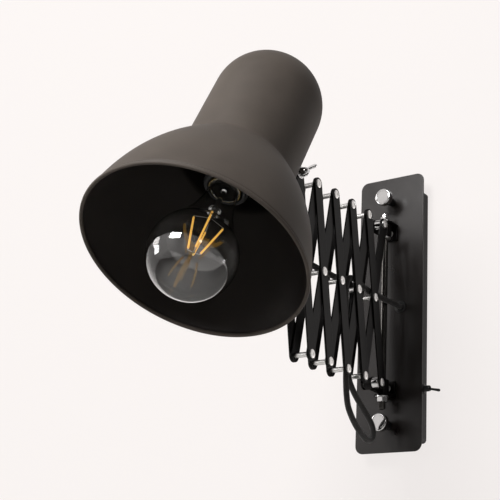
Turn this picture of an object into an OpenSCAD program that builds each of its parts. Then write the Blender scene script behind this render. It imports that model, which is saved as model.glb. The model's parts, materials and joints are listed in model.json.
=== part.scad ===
// Accordion wall lamp: a wall box with a cover plate, an upright rod on two lugs,
// a five-cell scissor arm of flat bars, and a bell shade that tilts on its end bolt.
// Millimetres. The wall is the plane Y = 0, the arm reaches towards -Y, and +Z is up.
// The origin is the middle of the wall face behind the cover plate.

/* [Wall box] */
// Width of the wall box
box_w = 71; // [64:1:74]
// How far the wall box reaches past the cover knobs' middles, above and below
box_margin = 13.5; // [9:0.5:23]
// Depth of the wall box, from the wall to the back of the cover plate
box_d = 14.5; // [14:0.5:30]
// Sheet thickness of the wall box
box_wall = 1.2; // [0.8:0.1:2]
// How far the middle of the wall box lies below the middle of the plate
box_drop = 4.5; // [0:0.5:5]
// Corner radius of the wall box
box_corner_r = 4; // [2:0.5:8]
// Distance between the two wall screw slots
wall_screw_pitch = 200; // [150:5:205]
// Radius of a wall screw slot's round end
wall_screw_r = 2.6; // [2:0.1:3]
// Length of a wall screw slot from end to end
wall_slot_l = 14; // [8:1:20]
// Radius of the hole where the mains comes out of the wall
mains_hole_r = 9; // [6:0.5:12]

/* [Cover plate] */
// Width of the cover plate
plate_w = 77; // [76:1:100]
// How far the cover plate reaches past the cover knobs' middles, above and below
plate_margin = 28; // [20.5:0.5:48]
// Thickness of the cover plate
plate_t = 1.5; // [1:0.1:3]
// Corner radius of the cover plate
plate_corner_r = 8.5; // [3:0.5:15]

/* [Cover knobs] */
// Distance from a lug's inner face to the middle of the cover knob beyond it
lug_to_knob = 30; // [26:0.5:33]
// Diameter of a knob head
knob_d = 18; // [14:0.5:24]
// Thickness of a knob head
knob_t = 7; // [5:0.5:10]
// Length of the black sleeve between plate and knob
sleeve_l = 13.5; // [6:0.5:20]
// Diameter of the black sleeve
sleeve_d = 9.2; // [7:0.2:12]
// Diameter of the threaded stud
stud_d = 5; // [4:0.5:6]

/* [Switch] */
// Height of the switch above the plate's middle
switch_z = -85; // [-110:0.5:-60]
// Diameter of the switch bushing
bushing_d = 6.4; // [6:0.1:8]
// Length of bushing that stands out of the box's side
bushing_out = 7.5; // [6:0.5:10]
// Length of the lever from its pivot to its tip
lever_l = 15; // [12:0.5:22]
// Angle of the lever below the level line at rest
lever_tilt = 12; // [8:1:14]

/* [Swivel rod] */
// Diameter of the upright rod
rod_d = 7; // [6:0.5:9]
// Distance from the plate's face to the rod's axis
rod_stand = 13; // [12:0.5:16]
// Height of each block that joins the arm to the rod
block_h = 14.5; // [13:0.5:20]
// Sheet thickness of a lug
lug_t = 2.5; // [2:0.5:4]
// Width of a lug
lug_w = 17; // [14:1:22]

/* [Scissor arm] */
// Distance between the two end pivots of a bar
bar_l = 172.5; // [165:0.5:175]
// Width of a bar
bar_w = 12.4; // [10:0.2:13]
// Thickness of a bar
bar_t = 1.5; // [1:0.1:2]
// Angle between a bar and the upright at rest
rest_angle = 10.8; // [9.4:0.1:14]
// Width of the free space between the near and the far lattice
arm_gap = 16; // [13.4:0.2:18]
// Distance from the rod's axis to the first pivots
first_reach = 19.5; // [19:0.5:26]
// Diameter of a spacer bar
spacer_d = 5; // [4.6:0.2:6]
// Diameter of a rivet's shank
shank_d = 4; // [3:0.2:4.2]
// Diameter of a rivet's head
rivet_d = 8.6; // [7:0.2:10]
// Height of a rivet's head
rivet_h = 1; // [0.8:0.1:2]

/* [Shade] */
// Radius of the shade at its rim
rim_r = 102; // [90:0.5:110]
// Radius of the round cap
cap_r = 52.6; // [50:0.2:56]
// Distance from the rim to the shoulder where the bell meets the cap
shoulder_z = 109; // [100:1:130]
// How far the bell bulges past a straight line from rim to shoulder
bell_bulge = 9; // [4:0.5:14]
// Distance from the rim to the middle of the cap's dome
dome_z = 199.5; // [194:0.5:220]
// Sheet thickness of the shade
shade_wall = 1; // [0.8:0.1:2]
// Radius of the soft crease between bell and cap
crease_r = 7; // [3:0.5:12]
// Radius of the rolled bead at the rim
bead_r = 1.7; // [1.2:0.1:2.5]
// Tilt of the shade's axis from straight down
shade_tilt = 28; // [20:0.5:35]

/* [Tilt joint] */
// Distance from the rim to the tilt bolt, along the shade's axis
hinge_z = 174; // [172:0.5:190]
// Gap from the cap's skin to the tilt bolt's axis
hinge_gap = 11.8; // [10:0.1:16]
// Diameter of the tilt bolt
tilt_bolt_d = 5; // [4:0.5:6]

/* [Bulb] */
// Radius of the globe
globe_r = 40; // [30:0.5:42]
// Distance from the rim up to the middle of the globe
globe_z = 0.5; // [0:0.5:12]
// Radius of the glass neck where it enters the metal collar
neck_r = 14; // [12:0.5:15]
// Distance from the middle of the globe to the metal collar
neck_z = 80; // [76:1:84]
// Wall of the glass
glass_wall = 0.9; // [0.6:0.1:1.5]

/* [Cable] */
// Diameter of the cable
cable_d = 6; // [5:0.1:6.2]

/* [Hidden] */
$fn = 64;

// Clearances and the overrun of every cut
run_clear = 0.05;
open_clear = 0.15;
seat_clear = 0.3;
over = 1;

// The arm's rise sets the gap between the lugs, and that sets knobs, plate and box
pitch = bar_l * sin(rest_angle);
rise = bar_l * cos(rest_angle);
lug_gap = rise + block_h;
knob_pitch = lug_gap + 2 * lug_to_knob;
plate_h = knob_pitch + 2 * plate_margin;
box_h = knob_pitch + 2 * box_margin;

// Where the wall box and the plate lie
plate_back_y = -box_d;
plate_face_y = plate_back_y - plate_t;
box_z = -box_drop;
inner_floor_y = -box_wall;

// Rod, lugs and the two blocks on the rod
rod_r = rod_d / 2;
rod_y = plate_face_y - rod_stand;
lug_inner_z = lug_gap / 2;
lug_foot_h = 15;
lug_end_r = lug_w / 2;
lug_screw_r = 2;
lug_screw_head_r = 3.8;
lug_screw_head_h = 2;
lug_screw_l = 6;
washer_r = 7.4;
washer_t = 1;
nut_r = 5.8;
nut_h = 5;
cap_hex_h = 4;
cap_neck_h = 2.6;
cap_dome_r = 3.7;
rod_tail = 7.5;
rod_dimple_r = 1.4;
rod_dimple_h = 2;
block_r = 6.6;
barrel_r = 6.2;
collar_r = 5.4;
barrel_end_x = 0.8;
bridge_w = 5;

// Scissor arm
cells = 5;
stop_r = 6;
stop_t = 2;
arm_y = rod_y - first_reach;
gap_x = arm_gap / 2;
inner_x = gap_x + bar_t;
outer_x = inner_x + bar_t;
bar_r = bar_w / 2;
shank_r = shank_d / 2;
spacer_r = spacer_d / 2;
rivet_r = rivet_d / 2;
rivet_top_r = rivet_r - rivet_h;
rivet_edge_h = rivet_h * 0.4;
rivet_dimple_r = 0.9;
rivet_dimple_h = 0.4;
shoulder_r = 4.2;

function top_pivot(i) = [0, arm_y - i * pitch, rise / 2];
function bottom_pivot(i) = [0, arm_y - i * pitch, -rise / 2];
function middle_pivot(i) = [0, arm_y - (i + 0.5) * pitch, 0];

// Head: its own frame has +Z along the shade's axis, from the rim to the cap
hinge_y = cap_r + hinge_gap;
knuckle_r = 6.2;
tilt_washer_t = 0.7;
knuckle_x = inner_x - tilt_washer_t;
tilt_bolt_r = tilt_bolt_d / 2;
saddle_t = 2.2;
saddle_w = 22;
saddle_h = 25;
saddle_web_r = 5;
saddle_screw_pitch = 17;
saddle_screw_r = 1.4;
saddle_screw_head_r = 2.6;
saddle_screw_head_h = 1.6;
saddle_nut_r = 2.8;
saddle_nut_h = 2.4;
strap_end = 2;

// Bell outline: one arc from the rim to the shoulder
chord = [cap_r - rim_r, shoulder_z];
chord_l = norm(chord);
bell_r = (chord_l * chord_l / 4 + bell_bulge * bell_bulge) / (2 * bell_bulge);
chord_out = [shoulder_z, rim_r - cap_r] / chord_l;
bell_c = [(rim_r + cap_r) / 2, shoulder_z / 2] - (bell_r - bell_bulge) * chord_out;
crease_c = [cap_r + crease_r,
            bell_c[1] + sqrt(pow(bell_r + crease_r, 2) - pow(cap_r + crease_r - bell_c[0], 2))];
crease_bell = bell_c + (crease_c - bell_c) * bell_r / (bell_r + crease_r);

// Bulb and lampholder
collar_z = globe_z + neck_z;
screw_l = 26;
screw_r = 13.2;
collar_h = 5;
tip_h = 3;
tip_r = 5;
holder_r = 19.5;
holder_ring_r = 21;
holder_gap = 1.5;
holder_mouth_z = collar_z + holder_gap;
holder_l = 52;
holder_wall = 2;
ring_h = 7;
strap_t = 1.6;
strap_w = 16;
strap_gap = 1;
strap_z = holder_mouth_z + holder_l + strap_gap;
nipple_r = 5;
nipple_h = 8;

module rounded_rect(w, h, r) {
    square([w - 2 * r, h], center = true);
    square([w, h - 2 * r], center = true);
    for (sx = [-1, 1])
        for (sz = [-1, 1])
            translate([sx * (w / 2 - r), sz * (h / 2 - r)]) circle(r);
}

// Stands a flat outline up in the X-Z plane and gives it thickness towards -Y
module upright(t) {
    rotate([90, 0, 0]) linear_extrude(t) children();
}

// Lays a cylinder along X from x0 to x1
module along_x(x0, x1, r) {
    translate([x0, 0, 0]) rotate([0, 90, 0]) cylinder(h = x1 - x0, r = r);
}

// Lays a cylinder towards -Y, from y0 forward by l
module forward(y0, l, r) {
    translate([0, y0, 0]) rotate([90, 0, 0]) cylinder(h = l, r = r);
}

module in_head() {
    translate(top_pivot(cells))
        rotate([-shade_tilt, 0, 0])
            translate([0, -hinge_y, -hinge_z])
                children();
}

// Wall box, cover plate and what is inside

switch_y = -box_d / 2;
side_x = box_w / 2;
bushing_r = bushing_d / 2;
lever_r = 1.15;
lever_tip_r = 1.5;
lever_neck_r = 1.35;
lever_ball_r = 2.2;
lever_ball_clear = 0.1;
lever_bore_r = lever_ball_r + lever_ball_clear;
lever_sink = 3;
lever_pivot_x = side_x + bushing_out - lever_sink;
switch_size = [12, 11.4, 14];
switch_nut_r = 5.2;
switch_nut_h = 2;
grommet_x = 12.5;
grommet_z = 2.5;
grommet_r = 5.2;
grommet_lip = 1.4;
grommet_lip_t = 1.3;
knob_edge = 1;
knob_z = knob_pitch / 2;
terminal_size = [38, 9, 17];
terminal_z = 45;
terminal_screws = 3;
terminal_screw_r = 2.2;
terminal_screw_h = 2.5;

module wall_box() {
    color("#1b1a19")
        difference() {
            translate([0, 0, box_z]) upright(box_d) rounded_rect(box_w, box_h, box_corner_r);
            translate([0, inner_floor_y, box_z])
                upright(box_d)
                    rounded_rect(box_w - 2 * box_wall, box_h - 2 * box_wall, box_corner_r - box_wall);
            for (s = [-1, 1])
                translate([0, over, s * wall_screw_pitch / 2])
                    upright(box_wall + 2 * over) {
                        square([2 * wall_screw_r, wall_slot_l - 2 * wall_screw_r], center = true);
                        for (e = [-1, 1])
                            translate([0, e * (wall_slot_l / 2 - wall_screw_r)]) circle(wall_screw_r);
                    }
            forward(over, box_wall + 2 * over, mains_hole_r);
            translate([0, switch_y, switch_z])
                along_x(side_x - box_wall - over, side_x + over, bushing_r + run_clear);
        }
}

module front_plate() {
    color("#3a3938")
        difference() {
            translate([0, plate_back_y, 0]) upright(plate_t) rounded_rect(plate_w, plate_h, plate_corner_r);
            for (s = [-1, 1]) {
                translate([0, 0, s * knob_z])
                    forward(plate_back_y + over, plate_t + 2 * over, stud_d / 2 + run_clear);
                translate([0, 0, s * (lug_inner_z - lug_foot_h / 2)])
                    forward(plate_back_y + over, plate_t + 2 * over, lug_screw_r + run_clear);
            }
            translate([grommet_x, 0, grommet_z])
                forward(plate_back_y + over, plate_t + 2 * over, grommet_r + run_clear);
        }
}

// Threaded studs stand on the box's floor and carry the plate, sleeves and knobs
module cover_studs() {
    color("#b9b9b9")
        for (s = [-1, 1])
            translate([0, 0, s * knob_z])
                forward(inner_floor_y, -inner_floor_y - plate_face_y - 2 * box_wall + sleeve_l + knob_t / 2,
                        stud_d / 2);
}

module knob_sleeves() {
    color("#151413")
        for (s = [-1, 1])
            translate([0, 0, s * knob_z])
                difference() {
                    forward(plate_face_y, sleeve_l, sleeve_d / 2);
                    forward(plate_face_y + over, sleeve_l + 2 * over, stud_d / 2 + run_clear);
                }
}

// A knob head is a turned disc with both edges rounded and a blind hole for its stud
module cover_knobs() {
    color("#e3e3e3")
        for (s = [-1, 1])
            translate([0, plate_face_y - sleeve_l, s * knob_z])
                difference() {
                    rotate([90, 0, 0])
                        rotate_extrude() {
                            square([knob_d / 2 - knob_edge, knob_t]);
                            translate([0, knob_edge]) square([knob_d / 2, knob_t - 2 * knob_edge]);
                            for (e = [knob_edge, knob_t - knob_edge])
                                translate([knob_d / 2 - knob_edge, e]) circle(knob_edge);
                        }
                    forward(over, knob_t / 2 + over + run_clear, stud_d / 2 + run_clear);
                }
}

module terminal_block() {
    color("#d8d6cf")
        translate([0, inner_floor_y, terminal_z])
            difference() {
                translate([-terminal_size[0] / 2, -terminal_size[1], -terminal_size[2] / 2])
                    cube(terminal_size);
                for (i = [0:terminal_screws - 1])
                    translate([(i - 1) * terminal_size[0] / terminal_screws, 0, 0])
                        forward(-terminal_size[1] + terminal_screw_h, terminal_screw_h + over,
                                terminal_screw_r);
            }
}

// Body inside the box, with the threaded bushing that comes out through its side
module switch_body() {
    color("#202020")
        translate([0, switch_y, switch_z])
            difference() {
                union() {
                    translate([side_x - box_wall - switch_size[0], -switch_size[1] / 2, -switch_size[2] / 2])
                        cube(switch_size);
                    along_x(side_x - box_wall - over, side_x + bushing_out, bushing_r);
                }
                along_x(lever_pivot_x - lever_ball_r - run_clear - over,
                        side_x + bushing_out + over, lever_bore_r);
            }
}

module switch_nut() {
    color("#2a2a2a")
        translate([0, switch_y, switch_z])
            difference() {
                translate([side_x, 0, 0])
                    rotate([0, 90, 0]) cylinder(h = switch_nut_h, r = switch_nut_r, $fn = 6);
                along_x(side_x - over, side_x + switch_nut_h + over, bushing_r + run_clear);
            }
}

module switch_lever() {
    color("#101010")
        translate([lever_pivot_x, switch_y, switch_z])
            rotate([0, 90 + lever_tilt, 0])
                rotate_extrude()
                    intersection() {
                        union() {
                            circle(lever_ball_r);
                            polygon([[0, 0], [lever_r, 0], [lever_neck_r, lever_l - lever_tip_r],
                                     [0, lever_l - lever_tip_r]]);
                            translate([0, lever_l - lever_tip_r]) circle(lever_tip_r);
                        }
                        translate([0, -lever_l]) square([lever_l, 3 * lever_l]);
                    }
}

module cable_grommet() {
    color("#121212")
        translate([grommet_x, 0, grommet_z])
            difference() {
                union() {
                    forward(plate_back_y, plate_t, grommet_r);
                    forward(plate_face_y, grommet_lip_t, grommet_r + grommet_lip);
                }
                forward(plate_back_y + over, plate_t + grommet_lip_t + 2 * over, cable_d / 2 + run_clear);
            }
}

// Lugs, rod and its nuts

// An angle bracket: its foot lies on the plate and its ear holds one end of the rod
module lug() {
    difference() {
        union() {
            translate([0, 0, lug_inner_z])
                linear_extrude(lug_t) {
                    translate([0, rod_y]) circle(lug_end_r);
                    translate([-lug_end_r, rod_y]) square([lug_w, plate_face_y - rod_y]);
                }
            translate([0, plate_face_y, lug_inner_z + (lug_t - lug_foot_h) / 2])
                upright(lug_t) square([lug_w, lug_foot_h + lug_t], center = true);
        }
        translate([0, rod_y, lug_inner_z - over]) cylinder(h = lug_t + 2 * over, r = rod_r + run_clear);
        translate([0, 0, lug_inner_z - lug_foot_h / 2])
            forward(plate_face_y + over, lug_t + 2 * over, lug_screw_r + run_clear);
    }
}

module upper_lug() {
    color("#171615") lug();
}

module lower_lug() {
    color("#171615") mirror([0, 0, 1]) lug();
}

module lug_screws() {
    color("#c8c8c8")
        for (s = [-1, 1])
            translate([0, 0, s * (lug_inner_z - lug_foot_h / 2)]) {
                forward(plate_face_y - lug_t + lug_screw_l, lug_screw_l, lug_screw_r);
                forward(plate_face_y - lug_t, lug_screw_head_h, lug_screw_head_r);
            }
}

rod_top_z = lug_inner_z + lug_t + washer_t + cap_hex_h;
rod_end_z = -(lug_inner_z + lug_t + washer_t + nut_h + rod_tail);

module swivel_rod() {
    color("#c9c9c9")
        translate([0, rod_y, 0])
            difference() {
                translate([0, 0, rod_end_z]) cylinder(h = rod_top_z - rod_end_z, r = rod_r);
                translate([0, 0, rod_end_z - over])
                    cylinder(h = rod_dimple_h + over, r = rod_dimple_r);
            }
}

module rod_washers() {
    color("#dcdcdc")
        for (s = [-1, 1])
            translate([0, rod_y, s * (lug_inner_z + lug_t + washer_t / 2)])
                difference() {
                    cylinder(h = washer_t, r = washer_r, center = true);
                    cylinder(h = washer_t + 2 * over, r = rod_r + run_clear, center = true);
                }
}

module rod_cap_nut() {
    color("#e6e6e6")
        translate([0, rod_y, lug_inner_z + lug_t + washer_t])
            difference() {
                union() {
                    cylinder(h = cap_hex_h, r = nut_r, $fn = 6);
                    cylinder(h = cap_hex_h + cap_neck_h, r = cap_dome_r);
                    translate([0, 0, cap_hex_h + cap_neck_h]) sphere(cap_dome_r);
                }
                translate([0, 0, -over]) cylinder(h = cap_hex_h + over + run_clear, r = rod_r + run_clear);
            }
}

module rod_lock_nut() {
    color("#e6e6e6")
        translate([0, rod_y, -(lug_inner_z + lug_t + washer_t + nut_h)])
            difference() {
                cylinder(h = nut_h, r = nut_r, $fn = 6);
                translate([0, 0, -over]) cylinder(h = nut_h + 2 * over, r = rod_r + run_clear);
            }
}

// A ring pressed on the rod under the upper block, which carries the arm's weight
module rod_stop_ring() {
    color("#bdbdbd")
        translate([0, rod_y, rise / 2 - block_h / 2 - stop_t])
            difference() {
                cylinder(h = stop_t, r = stop_r);
                translate([0, 0, -over]) cylinder(h = stop_t + 2 * over, r = rod_r + run_clear);
            }
}

// A sleeve on the rod, joined by a bridge to a barrel round the first spacer bar
module rod_block() {
    difference() {
        union() {
            translate([0, first_reach, -block_h / 2]) cylinder(h = block_h, r = block_r);
            along_x(-gap_x + run_clear, barrel_end_x, barrel_r);
            translate([barrel_end_x - bridge_w, 0, -block_h / 2]) cube([bridge_w, first_reach, block_h]);
        }
        translate([0, first_reach, -block_h / 2 - over])
            cylinder(h = block_h + 2 * over, r = rod_r + run_clear);
        along_x(-gap_x - over, barrel_end_x + over, spacer_r + run_clear);
    }
}

module block_collar() {
    difference() {
        along_x(barrel_end_x, gap_x - run_clear, collar_r);
        along_x(barrel_end_x - over, gap_x + over, spacer_r + run_clear);
    }
}

module swivel_block() {
    color("#1a1918") translate(top_pivot(0)) rod_block();
}

module swivel_collar() {
    color("#d5d5d5") translate(top_pivot(0)) block_collar();
}

module slider_block() {
    color("#1a1918") translate(bottom_pivot(0)) rod_block();
}

module slider_collar() {
    color("#d5d5d5") translate(bottom_pivot(0)) block_collar();
}

// Scissor arm

module rivet_head() {
    difference() {
        union() {
            cylinder(h = rivet_edge_h, r = rivet_r);
            translate([0, 0, rivet_edge_h])
                cylinder(h = rivet_h - rivet_edge_h, r1 = rivet_r, r2 = rivet_top_r);
        }
        translate([0, 0, rivet_h - rivet_dimple_h]) cylinder(h = rivet_dimple_h + over, r = rivet_dimple_r);
    }
}

// A spacer bar between the lattices, its shanks through both bars and its two rivet heads
module spacer_bar() {
    along_x(-gap_x + run_clear, gap_x - run_clear, spacer_r);
    along_x(-outer_x, outer_x, shank_r);
    for (s = [0, 180])
        rotate([0, s + 90, 0]) translate([0, 0, outer_x]) rivet_head();
}

module swivel_bar() {
    color("#dedede")
        translate(top_pivot(0)) {
            spacer_bar();
            for (s = [0, 180])
                rotate([0, s, 0]) along_x(inner_x + run_clear, outer_x, shoulder_r);
        }
}

module slider_bar() {
    color("#dedede")
        translate(bottom_pivot(0)) {
            spacer_bar();
            for (s = [0, 180])
                rotate([0, s, 0]) along_x(gap_x - run_clear, inner_x - run_clear, shoulder_r);
        }
}

// Outline of a bar with round ends: rows of holes at the pivots, from z0 to z1
module bar_outline(z0, z1, hole_zs, hole_rs) {
    difference() {
        union() {
            translate([-bar_r, z0]) square([bar_w, z1 - z0]);
            translate([0, z0]) circle(bar_r);
            translate([0, z1]) circle(bar_r);
        }
        for (i = [0:len(hole_zs) - 1])
            translate([0, hole_zs[i]]) circle(hole_rs[i]);
    }
}

// The near and the far bar of one pair: x0 is the inside face, lean turns them about X
module bar_pair(x0, lean, z0, z1, hole_zs, hole_rs) {
    for (x = [x0, -x0 - bar_t])
        translate([x, 0, 0])
            rotate([lean, 0, 0])
                rotate([90, 0, 90])
                    linear_extrude(bar_t)
                        bar_outline(z0, z1, hole_zs, hole_rs);
}

half = bar_l / 2;
pivot_hole_r = shank_r + run_clear;
open_hole_r = shank_r + open_clear;

module inner_links(i) {
    whole = i < cells - 1;
    color("#191817")
        translate(middle_pivot(i))
            bar_pair(gap_x, -rest_angle, whole ? -half : 0, half,
                     whole ? [-half, 0, half] : [0, half],
                     whole ? [open_hole_r, pivot_hole_r, pivot_hole_r] : [pivot_hole_r, pivot_hole_r]);
}

module outer_links(i) {
    last = i == cells - 1;
    color("#191817")
        translate(middle_pivot(i))
            bar_pair(inner_x, rest_angle, -half, half, [-half, 0, half],
                     [pivot_hole_r, pivot_hole_r, last ? tilt_bolt_r + run_clear : pivot_hole_r]);
}

// The spacer bars that one outer pair carries: middle, top and, past the first pair, bottom
module spacer_bars(i) {
    color("#dedede") {
        translate(middle_pivot(i)) spacer_bar();
        if (i < cells - 1) translate(top_pivot(i + 1)) spacer_bar();
        if (i > 0) translate(bottom_pivot(i)) spacer_bar();
    }
}

// Tilt joint between the arm's end and the shade

bolt_head_h = 3.2;
bolt_head_r = 4.6;
wing_washer_t = 1;
wing_hub_h = 6;
wing_hub_r = 4.8;
wing_t = 2;
wing_span = 13;
wing_h = 9;
wing_lobe_r = 4;
bolt_tail = 2.5;
wing_rest = -45;
wing_root_r = 3.2;
wing_neck_r = 3.4;

module tilt_bolt() {
    color("#d2d2d2")
        translate(top_pivot(cells)) {
            along_x(-outer_x, outer_x + wing_washer_t + wing_hub_h + bolt_tail, tilt_bolt_r);
            translate([-outer_x - bolt_head_h, 0, 0])
                rotate([0, 90, 0]) cylinder(h = bolt_head_h, r = bolt_head_r, $fn = 6);
            difference() {
                along_x(outer_x, outer_x + wing_washer_t, washer_r - over);
                along_x(outer_x - over, outer_x + wing_washer_t + over, tilt_bolt_r);
            }
        }
}

// A tapered hub with two leaf-shaped wings that sweep outwards
module wing_nut() {
    x0 = outer_x + wing_washer_t;
    color("#dadada")
        translate(top_pivot(cells))
            difference() {
                union() {
                    translate([x0, 0, 0])
                        rotate([0, 90, 0]) cylinder(h = wing_hub_h, r1 = wing_hub_r, r2 = wing_hub_r - wing_t / 2);
                    rotate([wing_rest, 0, 0])
                        for (s = [0, 180])
                            rotate([s, 0, 0])
                                translate([0, wing_t / 2, 0])
                                    rotate([90, 0, 0])
                                        linear_extrude(wing_t) {
                                            translate([x0 + wing_h, wing_span - wing_lobe_r])
                                                circle(wing_lobe_r);
                                            polygon([[x0, wing_root_r],
                                                     [x0 + wing_hub_h, wing_root_r],
                                                     [x0 + wing_h + wing_neck_r * cos(60),
                                                      wing_span - wing_lobe_r - wing_neck_r * sin(60)],
                                                     [x0 + wing_h - wing_neck_r * cos(30),
                                                      wing_span - wing_lobe_r + wing_neck_r * sin(30)]]);
                                        }
                }
                along_x(x0 - over, x0 + wing_h + wing_span, tilt_bolt_r + run_clear);
            }
}

module tilt_washers() {
    color("#2b2826")
        translate(top_pivot(cells))
            for (s = [0, 180])
                rotate([0, s, 0])
                    difference() {
                        along_x(knuckle_x, inner_x - run_clear, knuckle_r);
                        along_x(knuckle_x - over, inner_x + over, tilt_bolt_r + run_clear);
                    }
}

// A cast tongue on the tilt bolt that widens into a saddle on the cap's skin
module tilt_knuckle() {
    color("#1d1c1b")
        in_head()
            difference() {
                union() {
                    translate([-knuckle_x + run_clear, hinge_y, hinge_z])
                        rotate([90, 0, 90])
                            linear_extrude(2 * (knuckle_x - run_clear)) {
                                circle(knuckle_r);
                                polygon([[0, knuckle_r], [-hinge_gap - saddle_t, saddle_web_r],
                                         [-hinge_gap - saddle_t, -saddle_web_r], [0, -knuckle_r]]);
                            }
                    intersection() {
                        translate([0, 0, hinge_z - saddle_h / 2]) cylinder(h = saddle_h, r = cap_r + saddle_t);
                        translate([-saddle_w / 2, 0, hinge_z - saddle_h / 2])
                            cube([saddle_w, 2 * cap_r, saddle_h]);
                    }
                }
                translate([0, 0, hinge_z - saddle_h]) cylinder(h = 2 * saddle_h, r = cap_r + run_clear);
                translate([0, hinge_y, hinge_z]) along_x(-saddle_w, saddle_w, tilt_bolt_r + run_clear);
                for (s = [-1, 1])
                    translate([0, 0, hinge_z + s * saddle_screw_pitch / 2])
                        rotate([-90, 0, 0]) cylinder(h = 2 * cap_r, r = saddle_screw_r + run_clear);
            }
}

module knuckle_screws() {
    color("#cfcfcf")
        in_head()
            for (s = [-1, 1])
                translate([0, 0, hinge_z + s * saddle_screw_pitch / 2]) {
                    y0 = strap_y - strap_t - saddle_nut_h;
                    translate([0, y0 + run_clear, 0])
                        rotate([-90, 0, 0]) cylinder(h = cap_r + saddle_t - y0, r = saddle_screw_r);
                    translate([0, cap_r + saddle_t + run_clear, 0])
                        rotate([-90, 0, 0]) cylinder(h = saddle_screw_head_h, r = saddle_screw_head_r);
                    translate([0, y0, 0])
                        rotate([-90, 0, 0]) cylinder(h = saddle_nut_h - run_clear, r = saddle_nut_r, $fn = 6);
                }
}

// Shade

// The outline of the shade's solid of revolution, drawn in by an even offset
module shade_outline(off) {
    z0 = off > 0 ? -over : 0;
    intersection() {
        translate(bell_c) circle(bell_r - off, $fn = 180);
        translate([0, z0]) square([rim_r + over, crease_bell[1] - z0]);
    }
    difference() {
        translate([0, crease_bell[1] - over]) square([crease_bell[0], crease_c[1] - crease_bell[1] + over]);
        translate(crease_c) circle(crease_r + off);
        if (off > 0)
            difference() {
                translate([cap_r - off, crease_bell[1] - 2 * over])
                    square([crease_bell[0], crease_c[1] - crease_bell[1] + 3 * over]);
                translate(bell_c) circle(bell_r - off, $fn = 180);
            }
    }
    translate([0, crease_bell[1]]) square([cap_r - off, dome_z - crease_bell[1]]);
    intersection() {
        translate([0, dome_z]) circle(cap_r - off);
        translate([0, dome_z - over]) square([cap_r, cap_r + over]);
    }
}

gland_z = 150;
gland_r = 5;
gland_tip_r = 3.9;
gland_l = 20;
gland_flange_r = 7;
gland_flange_t = 2;

module shade() {
    color("#2a2623")
        in_head()
            difference() {
                rotate_extrude() {
                    difference() {
                        shade_outline(0);
                        shade_outline(shade_wall);
                    }
                    translate([rim_r - bead_r / 2, bead_r]) circle(bead_r);
                }
                for (s = [-1, 1])
                    translate([0, cap_r / 2, hinge_z + s * saddle_screw_pitch / 2])
                        rotate([-90, 0, 0]) cylinder(h = cap_r, r = saddle_screw_r + run_clear);
                translate([0, cap_r / 2, gland_z])
                    rotate([-90, 0, 0]) cylinder(h = cap_r, r = gland_r + run_clear);
            }
}

// Tapered sleeve in the back of the cap, where the cable goes in
module cable_gland() {
    color("#141414")
        in_head()
            translate([0, 0, gland_z])
                rotate([-90, 0, 0])
                    difference() {
                        union() {
                            translate([0, 0, cap_r - shade_wall - gland_flange_t])
                                cylinder(h = shade_wall + 2 * gland_flange_t, r = gland_r);
                            difference() {
                                translate([0, 0, cap_r - gland_flange_t]) cylinder(h = 2 * gland_flange_t, r = gland_flange_r);
                                translate([0, gland_flange_r + over, 0])
                                    rotate([90, 0, 0])
                                        cylinder(h = 2 * gland_flange_r + 2 * over, r = cap_r + run_clear);
                            }
                            translate([0, 0, cap_r + gland_flange_t])
                                cylinder(h = gland_l - gland_flange_t, r1 = gland_r, r2 = gland_tip_r);
                        }
                        translate([0, 0, cap_r / 2])
                            cylinder(h = cap_r, r = cable_d / 2 + run_clear);
                    }
}

// Lampholder and bulb

strap_y = sqrt(pow(cap_r - shade_wall - run_clear, 2) - pow(strap_w / 2, 2));
strap_top = hinge_z + saddle_screw_pitch / 2 + saddle_nut_r + strap_end;

// A bent strap: one leg against the back of the cap, the other across the axis
module holder_bracket() {
    color("#8f8d88")
        in_head()
            difference() {
                union() {
                    translate([-strap_w / 2, strap_y - strap_t, strap_z])
                        cube([strap_w, strap_t, strap_top - strap_z]);
                    translate([-strap_w / 2, -strap_w / 2, strap_z])
                        cube([strap_w, strap_y + strap_w / 2, strap_t]);
                }
                translate([0, 0, strap_z - over]) cylinder(h = strap_t + 2 * over, r = nipple_r + run_clear);
                for (s = [-1, 1])
                    translate([0, 0, hinge_z + s * saddle_screw_pitch / 2])
                        rotate([-90, 0, 0]) cylinder(h = cap_r, r = saddle_screw_r + run_clear);
                translate([0, 0, gland_z]) rotate([-90, 0, 0]) cylinder(h = cap_r, r = gland_r + run_clear);
            }
}

module lampholder() {
    color("#141414")
        in_head()
            difference() {
                union() {
                    translate([0, 0, holder_mouth_z]) cylinder(h = holder_l * 0.55, r = holder_r);
                    translate([0, 0, holder_mouth_z + holder_l * 0.55])
                        cylinder(h = holder_l * 0.45, r1 = holder_r, r2 = nipple_r * 2);
                    translate([0, 0, holder_mouth_z + holder_l]) cylinder(h = nipple_h, r = nipple_r);
                }
                translate([0, 0, holder_mouth_z - over])
                    cylinder(h = collar_h + over, r = neck_r + holder_wall);
                translate([0, 0, holder_mouth_z - over])
                    cylinder(h = screw_l + tip_h + collar_h + over, r = screw_r + holder_wall / 2);
            }
}

module holder_ring() {
    color("#161616")
        in_head()
            translate([0, 0, holder_mouth_z + holder_wall])
                difference() {
                    cylinder(h = ring_h, r = holder_ring_r);
                    translate([0, 0, -over]) cylinder(h = ring_h + 2 * over, r = holder_r + run_clear);
                }
}

// Outline of the glass: a globe that runs in a smooth flare into the neck
function flare_r(k, off) = (neck_r + (globe_r * 0.78 - neck_r) * pow(1 - k, 2)) - off;
flare_z = globe_r * 0.6258;
flare_steps = 12;

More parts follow.
